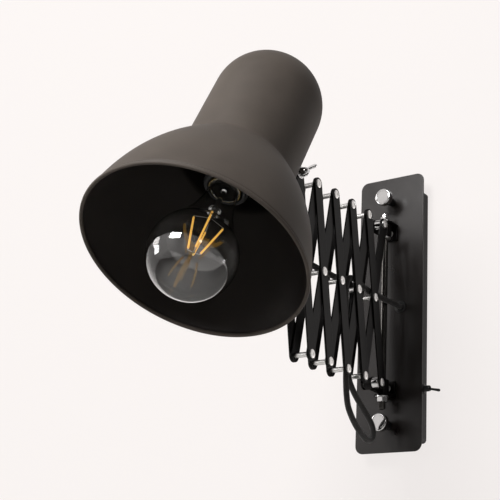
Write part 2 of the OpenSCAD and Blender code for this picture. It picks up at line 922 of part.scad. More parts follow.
module glass_outline(off) {
    intersection() {
        circle(globe_r - off);
        translate([0, -globe_r]) square([globe_r, globe_r + flare_z + over]);
    }
    polygon(concat(
        [[0, flare_z]],
        [for (j = [0:flare_steps])
            let (k = j / flare_steps) [flare_r(k, off), flare_z + k * (neck_z - flare_z)]],
        [[0, neck_z]]));
}

module bulb_glass() {
    color("#dfe6e8", 0.35)
        in_head()
            translate([0, 0, globe_z])
                rotate_extrude()
                    difference() {
                        glass_outline(0);
                        glass_outline(glass_wall);
                    }
}

module bulb_cap() {
    color("#c9a54a")
        in_head()
            translate([0, 0, collar_z]) {
                cylinder(h = collar_h, r = neck_r + holder_wall / 2);
                translate([0, 0, collar_h]) cylinder(h = screw_l - collar_h, r = screw_r);
                translate([0, 0, screw_l]) cylinder(h = tip_h, r1 = screw_r / 2, r2 = tip_r);
            }
}

stem_r = 2.3;
stem_flare_z = 54;
stem_flare_h = 6;
stem_flare_r = 6.5;
stem_rod_r = 1;
stem_tip_z = 3;

module bulb_stem() {
    color("#d5dddf", 0.4)
        in_head()
            translate([0, 0, globe_z]) {
                translate([0, 0, stem_flare_z]) cylinder(h = neck_z - stem_flare_z - seat_clear, r = stem_r);
                translate([0, 0, stem_flare_z - stem_flare_h])
                    cylinder(h = stem_flare_h, r1 = stem_r, r2 = stem_flare_r);
                translate([0, 0, stem_tip_z])
                    cylinder(h = stem_flare_z - stem_flare_h - stem_tip_z, r = stem_rod_r);
            }
}

filament_l = 38;
filament_r = 0.9;
filament_top_r = 14;
filament_low_r = 5.5;
filament_low_z = 4;
filament_count = 4;
filament_lean = asin((filament_top_r - filament_low_r) / filament_l);

wire_r = 0.4;
wire_clear = 0.15;
wire_root = stem_rod_r + wire_clear;
wire_hub_z = 46;

// A straight wire from p to q
module wire(p, q) {
    d = q - p;
    translate(p) rotate([0, acos(d[2] / norm(d)), atan2(d[1], d[0])]) cylinder(h = norm(d), r = wire_r);
}

// Wires that hold each filament: one from the stem to its top, one from the rod's tip to its foot
module bulb_wires() {
    color("#8c8a84")
        in_head()
            translate([0, 0, globe_z])
                for (a = [0:filament_count - 1])
                    rotate([0, 0, a * 360 / filament_count + 45]) {
                        wire([wire_root, 0, wire_hub_z],
                             [filament_top_r, 0, filament_low_z + filament_l * cos(filament_lean) + wire_r]);
                        wire([wire_root, 0, stem_tip_z + wire_r], [filament_low_r, 0, filament_low_z - wire_r]);
                    }
}

module bulb_filaments() {
    color("#f0a63a")
        in_head()
            translate([0, 0, globe_z])
                for (a = [0:filament_count - 1])
                    rotate([0, 0, a * 360 / filament_count + 45])
                        translate([filament_low_r, 0, filament_low_z])
                            rotate([0, filament_lean, 0])
                                cylinder(h = filament_l, r = filament_r);
}

// Cable: one route from the grommet to the gland, cut into four runs
route = [
    [12.5, -16, 2.5], [12, -23, 2.7], [10, -30, 3.5], [7.5, -39, 4.7], [5.5, -50, 6],
    [4, -60, 7], [3.5, -68, 7.5], [3.5, -78, 9], [3.5, -88, 11], [3.5, -97, 12],
    [3.5, -104, 10.5], [3.5, -108.5, 6], [3.5, -110, 0], [3.5, -110, -12], [3.5, -110, -26],
    [3.5, -110, -40], [3.5, -109, -54], [3.5, -107.5, -68], [3.5, -106, -82],
    [3, -104.5, -95], [2.5, -102, -107.5], [2, -97.5, -118.5], [1.5, -88.5, -128],
    [1, -78, -135.5], [0.5, -67, -141], [0, -57, -144], [-0.5, -48.5, -142], [-1, -44, -135.5],
    [-1.5, -45.5, -127.5], [-2, -52.5, -120.5], [-2.5, -62, -113.5], [-3, -72, -106],
    [-3.2, -81.5, -98], [-3.5, -88.5, -89], [-3.5, -91.5, -78], [-3.5, -92, -65], [-3.5, -91.5, -51],
    [-3.5, -90, -37], [-3.5, -88.5, -23], [-3.5, -87.5, -10], [-3.5, -87.5, 1],
    [-3.5, -90.5, 8], [-3.5, -96, 11.5], [-3, -104, 11.5], [-2, -114, 9], [-1, -125, 6.7],
    [0, -136, 6], [0, -149, 5.5], [0, -162, 6], [0, -175, 6.5], [0, -185, 9],
    [0, -190.5, 15], [0, -194.5, 23.5], [0, -198, 33], [0, -201.5, 42.5], [0, -207, 51], [0, -214, 58]];
wall_last = 9;
loop_last = 42;
arm_last = 49;
cable_sides = 10;

gland_end = top_pivot(cells)
    + [0, cos(shade_tilt), -sin(shade_tilt)] * (cap_r + gland_l - hinge_y)
    + [0, sin(shade_tilt), cos(shade_tilt)] * (gland_z - hinge_z);
path = concat([for (i = [0:len(route) - 2]) route[i]], [gland_end]);
gland_way = [0, cos(shade_tilt), -sin(shade_tilt)];

function unit(v) = v / norm(v);
function heading(i) = i == 0 ? [0, -1, 0]
    : i == len(path) - 1 ? -gland_way
    : unit(unit(path[i + 1] - path[i]) + unit(path[i] - path[i - 1]));
function ring(i) =
    let (t = heading(i), b = unit(cross(t, [1, 0, 0])), a = cross(b, t))
    [for (k = [0:cable_sides - 1])
        path[i] + cable_d / 2 * (cos(k * 360 / cable_sides) * a + sin(k * 360 / cable_sides) * b)];

// A tube through the rings from first to last, closed by a flat end at each
module cable_run(first, last) {
    n = cable_sides;
    rings = last - first;
    color("#1c1b1a")
        polyhedron(
            points = [for (i = [first:last]) each ring(i)],
            faces = concat(
                [[for (k = [0:n - 1]) k]],
                [[for (k = [n - 1:-1:0]) rings * n + k]],
                [for (i = [0:rings - 1]) for (k = [0:n - 1])
                    each [[i * n + k, (i + 1) * n + k, (i + 1) * n + (k + 1) % n],
                          [i * n + k, (i + 1) * n + (k + 1) % n, i * n + (k + 1) % n]]]));
}

module cable_wall() {
    cable_run(0, wall_last);
}

module cable_loop() {
    cable_run(wall_last, loop_last);
}

module cable_arm() {
    cable_run(loop_last, arm_last);
}

module cable_head() {
    cable_run(arm_last, len(path) - 1);
}

wall_box();
front_plate();
cover_studs();
knob_sleeves();
cover_knobs();
terminal_block();
switch_body();
switch_nut();
switch_lever();
upper_lug();
lower_lug();
lug_screws();
swivel_rod();
rod_washers();
rod_cap_nut();
rod_lock_nut();
rod_stop_ring();
cable_grommet();
swivel_block();
swivel_bar();
swivel_collar();
slider_block();
slider_bar();
slider_collar();
for (i = [0:cells - 1]) {
    inner_links(i);
    outer_links(i);
    spacer_bars(i);
}
tilt_bolt();
tilt_washers();
wing_nut();
tilt_knuckle();
knuckle_screws();
shade();
holder_bracket();
lampholder();
holder_ring();
bulb_glass();
bulb_cap();
bulb_stem();
bulb_wires();
bulb_filaments();
cable_gland();
cable_wall();
cable_loop();
cable_arm();
cable_head();
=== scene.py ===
"""Looks of the accordion wall lamp: lacquered shade, clear filament bulb, scissor arm, cable and wall box."""

import json
import logging
import math
from dataclasses import dataclass, field
from enum import Enum
from typing import Optional, Sequence

import bmesh
import bpy
import numpy as np
from mathutils import Matrix, Vector
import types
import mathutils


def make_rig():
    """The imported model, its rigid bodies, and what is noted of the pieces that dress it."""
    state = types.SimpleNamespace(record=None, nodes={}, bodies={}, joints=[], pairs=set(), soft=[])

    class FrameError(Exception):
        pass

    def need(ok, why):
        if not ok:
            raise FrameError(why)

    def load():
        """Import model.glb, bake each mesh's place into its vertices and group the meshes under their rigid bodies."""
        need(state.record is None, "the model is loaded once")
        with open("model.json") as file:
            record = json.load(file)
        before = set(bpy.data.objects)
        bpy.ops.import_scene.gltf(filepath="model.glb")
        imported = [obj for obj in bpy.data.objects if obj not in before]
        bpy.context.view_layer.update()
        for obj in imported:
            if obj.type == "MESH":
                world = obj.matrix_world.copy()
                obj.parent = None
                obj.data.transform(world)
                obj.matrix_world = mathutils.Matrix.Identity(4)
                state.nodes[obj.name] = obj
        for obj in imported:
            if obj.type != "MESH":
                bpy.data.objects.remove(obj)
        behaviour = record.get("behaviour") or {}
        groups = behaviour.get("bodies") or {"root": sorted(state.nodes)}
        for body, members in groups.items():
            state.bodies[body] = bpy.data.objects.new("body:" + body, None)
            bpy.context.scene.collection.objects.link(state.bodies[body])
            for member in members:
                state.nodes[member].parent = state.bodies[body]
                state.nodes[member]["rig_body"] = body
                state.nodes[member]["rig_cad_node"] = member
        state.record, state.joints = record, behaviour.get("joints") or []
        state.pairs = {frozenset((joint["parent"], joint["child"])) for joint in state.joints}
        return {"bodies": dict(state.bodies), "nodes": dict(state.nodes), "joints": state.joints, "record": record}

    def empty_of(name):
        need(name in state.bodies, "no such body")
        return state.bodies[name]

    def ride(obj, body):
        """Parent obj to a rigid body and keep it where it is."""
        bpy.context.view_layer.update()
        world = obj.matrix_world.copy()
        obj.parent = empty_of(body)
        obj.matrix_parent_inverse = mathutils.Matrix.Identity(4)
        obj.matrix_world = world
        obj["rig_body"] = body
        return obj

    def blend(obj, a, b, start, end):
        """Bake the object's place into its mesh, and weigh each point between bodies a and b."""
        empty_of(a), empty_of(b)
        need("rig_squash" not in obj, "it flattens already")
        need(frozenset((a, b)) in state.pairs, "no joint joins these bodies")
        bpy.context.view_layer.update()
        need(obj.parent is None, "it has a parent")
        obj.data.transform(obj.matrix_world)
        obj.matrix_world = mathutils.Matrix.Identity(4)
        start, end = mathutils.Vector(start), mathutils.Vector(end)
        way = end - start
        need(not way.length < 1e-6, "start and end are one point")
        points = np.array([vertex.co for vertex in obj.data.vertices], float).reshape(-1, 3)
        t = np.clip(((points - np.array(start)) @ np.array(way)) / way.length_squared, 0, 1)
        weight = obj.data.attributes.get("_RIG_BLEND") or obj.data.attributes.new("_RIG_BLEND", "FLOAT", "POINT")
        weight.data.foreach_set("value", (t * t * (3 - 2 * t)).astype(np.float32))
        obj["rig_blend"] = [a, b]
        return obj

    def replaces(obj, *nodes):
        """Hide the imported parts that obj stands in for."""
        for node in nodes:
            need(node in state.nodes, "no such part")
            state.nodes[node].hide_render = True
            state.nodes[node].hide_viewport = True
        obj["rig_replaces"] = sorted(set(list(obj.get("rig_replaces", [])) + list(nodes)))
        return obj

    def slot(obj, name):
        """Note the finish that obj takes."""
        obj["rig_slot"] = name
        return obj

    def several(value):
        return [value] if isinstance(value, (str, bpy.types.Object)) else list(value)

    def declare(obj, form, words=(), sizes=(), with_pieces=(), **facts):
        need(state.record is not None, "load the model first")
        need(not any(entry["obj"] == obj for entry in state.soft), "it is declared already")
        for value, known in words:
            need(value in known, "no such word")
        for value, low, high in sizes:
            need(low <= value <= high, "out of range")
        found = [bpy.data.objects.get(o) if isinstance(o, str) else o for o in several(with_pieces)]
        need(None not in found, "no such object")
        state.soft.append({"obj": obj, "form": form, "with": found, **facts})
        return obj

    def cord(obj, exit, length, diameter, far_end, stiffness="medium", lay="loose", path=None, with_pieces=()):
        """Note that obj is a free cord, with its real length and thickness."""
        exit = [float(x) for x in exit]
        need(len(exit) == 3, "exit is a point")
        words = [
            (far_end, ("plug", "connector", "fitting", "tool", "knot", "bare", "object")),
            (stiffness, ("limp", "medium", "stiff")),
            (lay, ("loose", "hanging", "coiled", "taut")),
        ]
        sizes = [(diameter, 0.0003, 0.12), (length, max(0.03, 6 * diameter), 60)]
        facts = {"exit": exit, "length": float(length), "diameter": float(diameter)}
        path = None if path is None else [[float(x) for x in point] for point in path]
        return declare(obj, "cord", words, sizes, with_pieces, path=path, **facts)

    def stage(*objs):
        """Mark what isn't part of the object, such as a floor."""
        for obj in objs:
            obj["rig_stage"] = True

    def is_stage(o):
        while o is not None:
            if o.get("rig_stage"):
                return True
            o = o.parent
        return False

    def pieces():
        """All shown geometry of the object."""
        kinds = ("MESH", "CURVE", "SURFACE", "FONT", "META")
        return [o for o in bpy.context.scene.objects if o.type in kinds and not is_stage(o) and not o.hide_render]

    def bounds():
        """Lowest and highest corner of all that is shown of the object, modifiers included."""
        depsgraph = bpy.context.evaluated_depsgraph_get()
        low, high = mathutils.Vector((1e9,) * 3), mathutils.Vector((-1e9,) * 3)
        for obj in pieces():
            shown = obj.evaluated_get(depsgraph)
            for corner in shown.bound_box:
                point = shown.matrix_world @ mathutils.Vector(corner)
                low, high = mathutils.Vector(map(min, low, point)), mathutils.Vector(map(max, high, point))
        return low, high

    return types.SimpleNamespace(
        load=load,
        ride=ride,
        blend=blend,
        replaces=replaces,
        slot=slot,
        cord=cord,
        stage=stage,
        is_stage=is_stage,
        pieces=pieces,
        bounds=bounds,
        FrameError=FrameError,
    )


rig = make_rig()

Array = np.ndarray
LOG = logging.getLogger("lamp")
# Metres in a millimetre.
MM = 0.001
# Clearance between fitted pieces, in millimetres.
PLAY = 0.05


class Slot(Enum):
    """The record's material slots."""

    PLATE = "plate_black"
    BOX = "box_black"
    ARM = "arm_black"
    SHADE = "shade_black"
    CHROME = "chrome"
    ZINC = "zinc"
    PLASTIC = "black_plastic"
    CREAM = "white_plastic"
    GLASS = "bulb_glass"
    BRASS = "bulb_brass"
    FILAMENT = "filament"
    CABLE = "cable_fabric"


class Side(Enum):
    """Which lattice layer a bar lies in, counted from the middle of the arm."""

    INNER = 0
    OUTER = 1


@dataclass(frozen=True)
class Layout:
    """Sizes and places that the pieces share, in millimetres, in the frame of the solids."""

    plate_face: float = -16.0
    plate_t: float = 1.5
    plate_w: float = 77.0
    plate_margin: float = 28.0
    plate_corner: float = 8.5
    lug_to_knob: float = 30.0
    rod_stand: float = 13.0
    block_h: float = 14.5
    first_reach: float = 19.5
    rod_r: float = 3.5
    bar_l: float = 172.5
    bar_w: float = 12.4
    bar_t: float = 1.5
    rest_angle: float = 10.8
    gap_x: float = 8.0
    cells: int = 5
    rim_r: float = 102.0
    cap_r: float = 52.6
    shoulder: float = 109.0
    bulge: float = 9.0
    dome: float = 199.5
    wall: float = 1.0
    crease: float = 7.0
    bead: float = 1.7
    tilt: float = 28.0
    hinge_z: float = 174.0
    hinge_gap: float = 11.8
    gland_z: float = 150.0
    gland_l: float = 20.0
    cable_bore: float = 3.05
    globe_r: float = 40.0
    globe_z: float = 0.5
    neck_r: float = 14.0
    neck_z: float = 80.0

    @property
    def rod_y(self) -> float:
        """Y of the upright rod's axis."""
        return self.plate_face - self.rod_stand

    @property
    def arm_y(self) -> float:
        """Y of the first pivots."""
        return self.rod_y - self.first_reach

    @property
    def pitch(self) -> float:
        """Distance along Y from one top pivot to the next."""
        return self.bar_l * math.sin(math.radians(self.rest_angle))

    @property
    def rise(self) -> float:
        """Height from the bottom pivots to the top pivots."""
        return self.bar_l * math.cos(math.radians(self.rest_angle))

    @property
    def lug_z(self) -> float:
        """Height of the upper lug's inner face; the lower lug is its mirror image."""
        return (self.rise + self.block_h) / 2

    @property
    def knob_z(self) -> float:
        """Height of the upper cover knob; the lower one is its mirror image."""
        return self.lug_z + self.lug_to_knob

    @property
    def plate_h(self) -> float:
        """Height of the cover plate."""
        return 2 * (self.knob_z + self.plate_margin)

    @property
    def outer_x(self) -> float:
        """Distance from the arm's middle to the outside of its outer bars."""
        return self.gap_x + 2 * self.bar_t

    @property
    def hinge_y(self) -> float:
        """Distance from the shade's axis to the tilt bolt."""
        return self.cap_r + self.hinge_gap

    def top(self, i: float) -> Array:
        """Top pivot i."""
        return np.array([0.0, self.arm_y - i * self.pitch, self.rise / 2])

    def bottom(self, i: float) -> Array:
        """Bottom pivot i."""
        return np.array([0.0, self.arm_y - i * self.pitch, -self.rise / 2])

    def middle(self, i: float) -> Array:
        """Middle pivot i."""
        return np.array([0.0, self.arm_y - (i + 0.5) * self.pitch, 0.0])

    @property
    def head_axes(self) -> Array:
        """Columns are the head's own X, Y and Z in the lamp's frame; Z runs from rim to cap."""
        a = math.radians(self.tilt)
        return np.array([[1, 0, 0], [0, math.cos(a), math.sin(a)], [0, -math.sin(a), math.cos(a)]])

    @property
    def head_origin(self) -> Array:
        """Middle of the shade's opening."""
        local = np.array([0.0, self.hinge_y, self.hinge_z])
        return self.top(self.cells) - self.head_axes @ local


LAMP = Layout()


@dataclass
class Surface:
    """Grids of points gathered into one mesh; each grid keeps its own finish."""

    points: list[Array] = field(default_factory=list)
    quads: list[Array] = field(default_factory=list)
    uvs: list[Array] = field(default_factory=list)
    slots: list[Array] = field(default_factory=list)
    count: int = 0

    def add(self, grid: Array, finish: int = 0, uv: Optional[Array] = None) -> "Surface":
        """Adds a grid of points whose rows run along the shape and whose columns go round it and close.

        Args:
            grid: (rows, columns, 3) points in millimetres.
            finish: index of the material.
            uv: (rows, columns + 1, 2) pattern coordinates, or None for plain ones.

        Returns:
            The surface itself, so that calls can be chained.
        """
        rows, cols = grid.shape[:2]
        r = np.arange(rows - 1)[:, None]
        c = np.arange(cols)[None, :]
        n = (c + 1) % cols
        near, far = r * cols, (r + 1) * cols
        quads = np.stack([near + c, near + n, far + n, far + c], -1).reshape(-1, 4)
        if uv is None:
            u, v = np.meshgrid(np.linspace(0, 1, cols + 1), np.linspace(0, 1, rows))
            uv = np.stack([u, v], -1)
        corner = np.stack([uv[:-1, :-1], uv[:-1, 1:], uv[1:, 1:], uv[1:, :-1]], 2).reshape(-1, 4, 2)
        self.points.append(grid.reshape(-1, 3) * MM)
        self.quads.append(quads + self.count)
        self.uvs.append(corner)
        self.slots.append(np.full(len(quads), finish))
        self.count += rows * cols
        return self

    def to_object(self, name: str, materials: Sequence[bpy.types.Material],
                  angle: float = 40.0) -> bpy.types.Object:
        """Makes the mesh object, with doubles merged and sharp edges past an angle.

        Args:
            name: the object's name.
            materials: finishes, in the order of their indices.
            angle: edges that turn more than this many degrees stay sharp.

        Returns:
            The new object, at the origin.
        """
        mesh = bpy.data.meshes.new(name)
        quads = np.concatenate(self.quads)
        mesh.from_pydata(np.concatenate(self.points).tolist(), [], quads.tolist())
        layer = mesh.uv_layers.new(name="UVMap")
        layer.data.foreach_set("uv", np.concatenate(self.uvs).reshape(-1).astype(np.float32))
        mesh.polygons.foreach_set("material_index", np.concatenate(self.slots).astype(np.int32))
        for material in materials:
            mesh.materials.append(material)
        tidy(mesh)
        mesh.set_sharp_from_angle(angle=math.radians(angle))
        obj = bpy.data.objects.new(name, mesh)
        bpy.context.scene.collection.objects.link(obj)
        return obj


def tidy(mesh: bpy.types.Mesh) -> None:
    """Merges doubled points, drops faces without area and turns faces outwards, smooth shaded.

    Args:
        mesh: the mesh to tidy in place.
    """
    work = bmesh.new()
    work.from_mesh(mesh)
    bmesh.ops.remove_doubles(work, verts=work.verts, dist=2e-6)
    bmesh.ops.dissolve_degenerate(work, edges=work.edges, dist=1e-7)
    bmesh.ops.recalc_face_normals(work, faces=work.faces)
    for face in work.faces:
        face.smooth = True
    work.to_mesh(mesh)
    work.free()


def lathe(profile: Array, turns: int = 96) -> Array:
    """Turns a profile about +Z: (r, z) at angle a goes to (r cos a, r sin a, z).

    Args:
        profile: (n, 2) radii and heights.
        turns: points round the axis.

    Returns:
        (n, turns, 3) points.
    """
    a = np.arange(turns) * 2 * np.pi / turns
    r, z = profile[:, :1], profile[:, 1:]
    return np.stack([r * np.cos(a), r * np.sin(a), np.broadcast_to(z, (len(profile), turns))], -1)


def prism(outline: Array, normals: Array, low: float, high: float, edge: float, steps: int = 4) -> Array:
    """Stacks insets of a convex outline so that both rims are quarter rounds of radius edge.

    A ring at angle q lies edge * (1 - cos q) inside the outline and edge * (1 - sin q) from the face.

    Args:
        outline: (n, 2) points, anticlockwise.
        normals: (n, 2) outward unit normals.
        low: height of the lower face.
        high: height of the upper face.
        edge: radius of the rounded rims.
        steps: rings in each quarter round.

    Returns:
        (rows, n, 3) points that close at the middle of both faces.
    """
    q = np.linspace(0, np.pi / 2, steps + 1)
    inset = edge * (1 - np.sin(q))
    rise = edge * (1 - np.cos(q))
    insets = np.concatenate([[edge * 1.25], inset, inset[::-1], [edge * 1.25]])
    heights = np.concatenate([[low], low + rise, high - rise[::-1], [high]])
    rings = outline[None] - insets[:, None, None] * normals[None]
    middle = np.broadcast_to(outline.mean(0), (1,) + outline.shape)
    flat = np.concatenate([middle, rings, middle])
    z = np.concatenate([[low], heights, [high]])
    return np.concatenate([flat, np.broadcast_to(z[:, None, None], flat.shape[:2] + (1,))], -1)


def rounded_box(w: float, h: float, r: float, steps: int = 10) -> tuple[Array, Array]:
    """Outline of a rectangle with quarter-round corners, and its outward normals.

    Args:
        w: width.
        h: height.
        r: corner radius.
        steps: points in each corner.

    Returns:
        Points and normals, both (4 * steps, 2).
    """
    a = (np.arange(4)[:, None] * np.pi / 2 + np.linspace(0, np.pi / 2, steps)[None]).reshape(-1)
    normal = np.stack([np.cos(a), np.sin(a)], -1)
    sign = np.array([[1, 1], [-1, 1], [-1, -1], [1, -1]]).repeat(steps, 0)
    return sign * np.array([w / 2 - r, h / 2 - r]) + r * normal, normal


def stadium(w: float, z0: float, z1: float, steps: int = 20) -> tuple[Array, Array]:
    """Outline of a bar with half-round ends centred at heights z0 and z1, and its outward normals.

    Args:
        w: width of the bar.
        z0: height of the lower end's middle.
        z1: height of the upper end's middle.
        steps: points in each half round.

    Returns:
        Points and normals, both (2 * steps, 2).
    """
    a = np.concatenate([np.linspace(0, np.pi, steps), np.linspace(np.pi, 2 * np.pi, steps)])
    normal = np.stack([np.cos(a), np.sin(a)], -1)
    middle = np.stack([np.zeros(2 * steps), np.repeat([z1, z0], steps)], -1)
    return middle + w / 2 * normal, normal


def normals_of(outline: Array) -> Array:
    """Outward unit normals of an anticlockwise outline, each across its two neighbours.

    Args:
        outline: (n, 2) points.

    Returns:
        (n, 2) normals.
    """
    d = np.roll(outline, -1, 0) - np.roll(outline, 1, 0)
    n = np.stack([d[:, 1], -d[:, 0]], -1)
    return n / np.linalg.norm(n, axis=1, keepdims=True)


def on_axis(profile: Array) -> Array:
    """Closes a profile at the axis at both ends.

    Args:
        profile: (n, 2) radii and heights.

    Returns:
        (n + 2, 2) radii and heights.
    """
    first = np.array([[0.0, profile[0][1]]])
    last = np.array([[0.0, profile[-1][1]]])
    return np.concatenate([first, profile, last])


def sleeve(bore: float, r: float, low: float, high: float, edge: float = 0.3) -> Array:
    """Closed profile of a ring with chamfered outer rims.

    Args:
        bore: inner radius.
        r: outer radius.
        low: height of the lower face.
        high: height of the upper face.
        edge: size of the chamfers.

    Returns:
        (7, 2) radii and heights that end where they start.
    """
    return np.array([[bore, low], [r - edge, low], [r, low + edge], [r, high - edge],
                     [r - edge, high], [bore, high], [bore, low]])


def pan_head(r: float, h: float, recess: float) -> Array:
    """Profile of a domed screw head that stands on z = 0, with a round recess in its top.

    Args:
        r: radius of the head.
        h: its height.
        recess: radius of the recess.

    Returns:
        Radii and heights from the foot to the middle of the recess.
    """
    steep = 68
    a = np.radians(np.linspace(0, steep, 8))
    dome = np.stack([r * np.cos(a), h * (0.3 + 0.7 * np.sin(a) / math.sin(math.radians(steep)))], -1)
    return np.concatenate([[[r, 0.0]], dome, [[recess, h], [recess * 0.7, h * 0.45], [0.0, h * 0.4]]])


def hexagon(corner: float, low: float, high: float, turns: int = 72) -> Array:
    """A nut or bolt head: each ring is the smaller of the hexagon and its chamfer's circle.

    Args:
        corner: radius of the hexagon's corners.
        low: height of the lower face.
        high: height of the upper face.
        turns: points in each ring.

    Returns:
        (8, turns, 3) points that close at the middle of both faces.
    """
    a = np.arange(turns) * 2 * np.pi / turns
    flat = corner * math.cos(math.pi / 6) / np.cos((a + 1e-9) % (np.pi / 3) - np.pi / 6)
    cut = 0.14 * corner
    z = np.array([low, low, low + cut * 0.45, low + cut, high - cut, high - cut * 0.45, high, high])
    limit = corner * np.array([0, 0.888, 0.966, 1.07, 1.07, 0.966, 0.888, 0])
    r = np.minimum(flat[None], limit[:, None])
    return np.stack([r * np.cos(a), r * np.sin(a), np.broadcast_to(z[:, None], r.shape)], -1)


def turn_x(grid: Array, degrees: float) -> Array:
    """Turns points about +X by an angle: y' = y cos a - z sin a, z' = y sin a + z cos a.

    Args:
        grid: (..., 3) points.
        degrees: the angle.

    Returns:
        The turned points.
    """
    a = math.radians(degrees)
    m = np.array([[1, 0, 0], [0, math.cos(a), -math.sin(a)], [0, math.sin(a), math.cos(a)]])
    return grid @ m.T


def lay_x(grid: Array) -> Array:
    """Lays a shape that stands on +Z along +X: (x, y, z) goes to (z, x, y)."""
    return grid[..., [2, 0, 1]]


def lay_forward(grid: Array) -> Array:
    """Points a shape that stands on +Z towards -Y: (x, y, z) goes to (x, -z, y)."""
    return np.stack([grid[..., 0], -grid[..., 2], grid[..., 1]], -1)


def lay_back(grid: Array) -> Array:
    """Points a shape that stands on +Z towards +Y: (x, y, z) goes to (x, z, -y)."""
    return np.stack([grid[..., 0], grid[..., 2], -grid[..., 1]], -1)


def in_head(grid: Array) -> Array:
    """Takes points from the head's own frame to the lamp's frame."""
    return grid @ LAMP.head_axes.T + LAMP.head_origin


def arc(cx: float, cy: float, r: float, a0: float, a1: float, steps: int) -> Array:
    """Points on a circular arc from angle a0 to a1 in degrees, in the plane of a profile."""
    a = np.radians(np.linspace(a0, a1, steps))
    return np.stack([cx + r * np.cos(a), cy + r * np.sin(a)], -1)


def tube(path: Array, radius: float, sides: int, first: Array) -> tuple[Array, Array]:
    """Carries a circle along a path; its own X stays level with the lamp's X.

    At each point t is the heading, b = t x X normalised and a = b x t. A ring is the point plus
    r (cos k a + sin k b).

    Args:
        path: (n, 3) points.
        radius: the tube's radius.
        sides: points in each ring.
        first: heading at the first point.

    Returns:
        (n, sides, 3) points and (n, sides + 1, 2) pattern coordinates in millimetres.
    """
    t = np.gradient(path, axis=0)
    t[0] = first
    t /= np.linalg.norm(t, axis=1, keepdims=True)
    b = np.cross(t, [1.0, 0.0, 0.0])
    b /= np.linalg.norm(b, axis=1, keepdims=True)
    a = np.cross(b, t)
    k = np.arange(sides) * 2 * np.pi / sides
    ring = np.cos(k)[None, :, None] * a[:, None] + np.sin(k)[None, :, None] * b[:, None]
    along = np.concatenate([[0], np.cumsum(np.linalg.norm(np.diff(path, axis=0), axis=1))])
    round_ = np.linspace(0, 2 * np.pi * radius, sides + 1)
    u, v = np.meshgrid(round_, along)
    return path[:, None] + radius * ring, np.stack([u, v], -1)


# Finishes


class Nodes:
    """Short ways to lay out a material's nodes."""

    def __init__(self, name: str) -> None:
        """Starts an empty material with one Principled shader.

        Args:
            name: the material's name.
        """
        self.material = bpy.data.materials.new(name)
        self.material.use_nodes = True
        self.tree = self.material.node_tree
        self.tree.nodes.clear()
        self.output = self.tree.nodes.new("ShaderNodeOutputMaterial")
        self.shader = self.tree.nodes.new("ShaderNodeBsdfPrincipled")
        self.link(self.shader.outputs[0], self.output.inputs["Surface"])
        self.coords = self.tree.nodes.new("ShaderNodeTexCoord")

    def link(self, source: bpy.types.NodeSocket, target: bpy.types.NodeSocket) -> None:
        """Joins two sockets."""
        self.tree.links.new(source, target)

    def new(self, kind: str, **inputs: object) -> bpy.types.Node:
        """Adds a node and sets its inputs by name.

        Args:
            kind: the node's type.
            **inputs: values, with underscores for spaces in the names.

        Returns:
            The node.
        """
        node = self.tree.nodes.new(kind)
        for key, value in inputs.items():
            node.inputs[key.replace("_", " ")].default_value = value
        return node

    def noise(self, scale: float, detail: float = 3.0, rough: float = 0.55) -> bpy.types.NodeSocket:
        """A noise on Object coordinates.

        Args:
            scale: waves per metre.
            detail: number of finer layers.
            rough: share that each finer layer keeps.

        Returns:
            The noise's value.
        """
        node = self.new("ShaderNodeTexNoise", Scale=scale, Detail=detail, Roughness=rough)
        self.link(self.coords.outputs["Object"], node.inputs["Vector"])
        return node.outputs[0]

    def spread(self, source: bpy.types.NodeSocket, low: float, high: float) -> bpy.types.NodeSocket:
        """Maps the middle of a noise, 0.3 to 0.7, onto low to high.

        Args:
            source: the noise.
            low: value at 0.3.
            high: value at 0.7.

        Returns:
            The mapped value.
        """
        node = self.new("ShaderNodeMapRange", From_Min=0.3, From_Max=0.7, To_Min=low, To_Max=high)
        self.link(source, node.inputs["Value"])
        return node.outputs[0]

    def math(self, kind: str, a: object, b: object = 0.0) -> bpy.types.NodeSocket:
        """A Math node of two values or sockets.

        Args:
            kind: the operation.
            a: first value or socket.
            b: second value or socket.

        Returns:
            The result.
        """
        node = self.tree.nodes.new("ShaderNodeMath")
        node.operation = kind
        for i, value in enumerate((a, b)):
            if isinstance(value, bpy.types.NodeSocket):
                self.link(value, node.inputs[i])
            else:
                node.inputs[i].default_value = value
        return node.outputs[0]

    def blend_color(self, fac: bpy.types.NodeSocket, a: Sequence[float], b: Sequence[float]) -> None:
        """Sends a mix of two colours to the base colour.

        Args:
            fac: share of the second colour.
            a: first colour.
            b: second colour.
        """
        node = self.tree.nodes.new("ShaderNodeMix")
        node.data_type = "RGBA"
        node.inputs[6].default_value = (*a, 1)
        node.inputs[7].default_value = (*b, 1)
        self.link(fac, node.inputs[0])
        self.link(node.outputs[2], self.shader.inputs["Base Color"])

    def bump(self, height: bpy.types.NodeSocket, strength: float, distance: float) -> None:
        """Sends a height to the shader's normal.

        Args:
            height: the height.
            strength: how strongly it counts.
            distance: its size in metres.
        """
        node = self.new("ShaderNodeBump", Strength=strength, Distance=distance)
        self.link(height, node.inputs["Height"])
        self.link(node.outputs[0], self.shader.inputs["Normal"])

    def set(self, **values: object) -> None:
        """Sets sockets on the shader itself, with underscores for spaces in the names."""
        for key, value in values.items():
            self.shader.inputs[key.replace("_", " ")].default_value = value


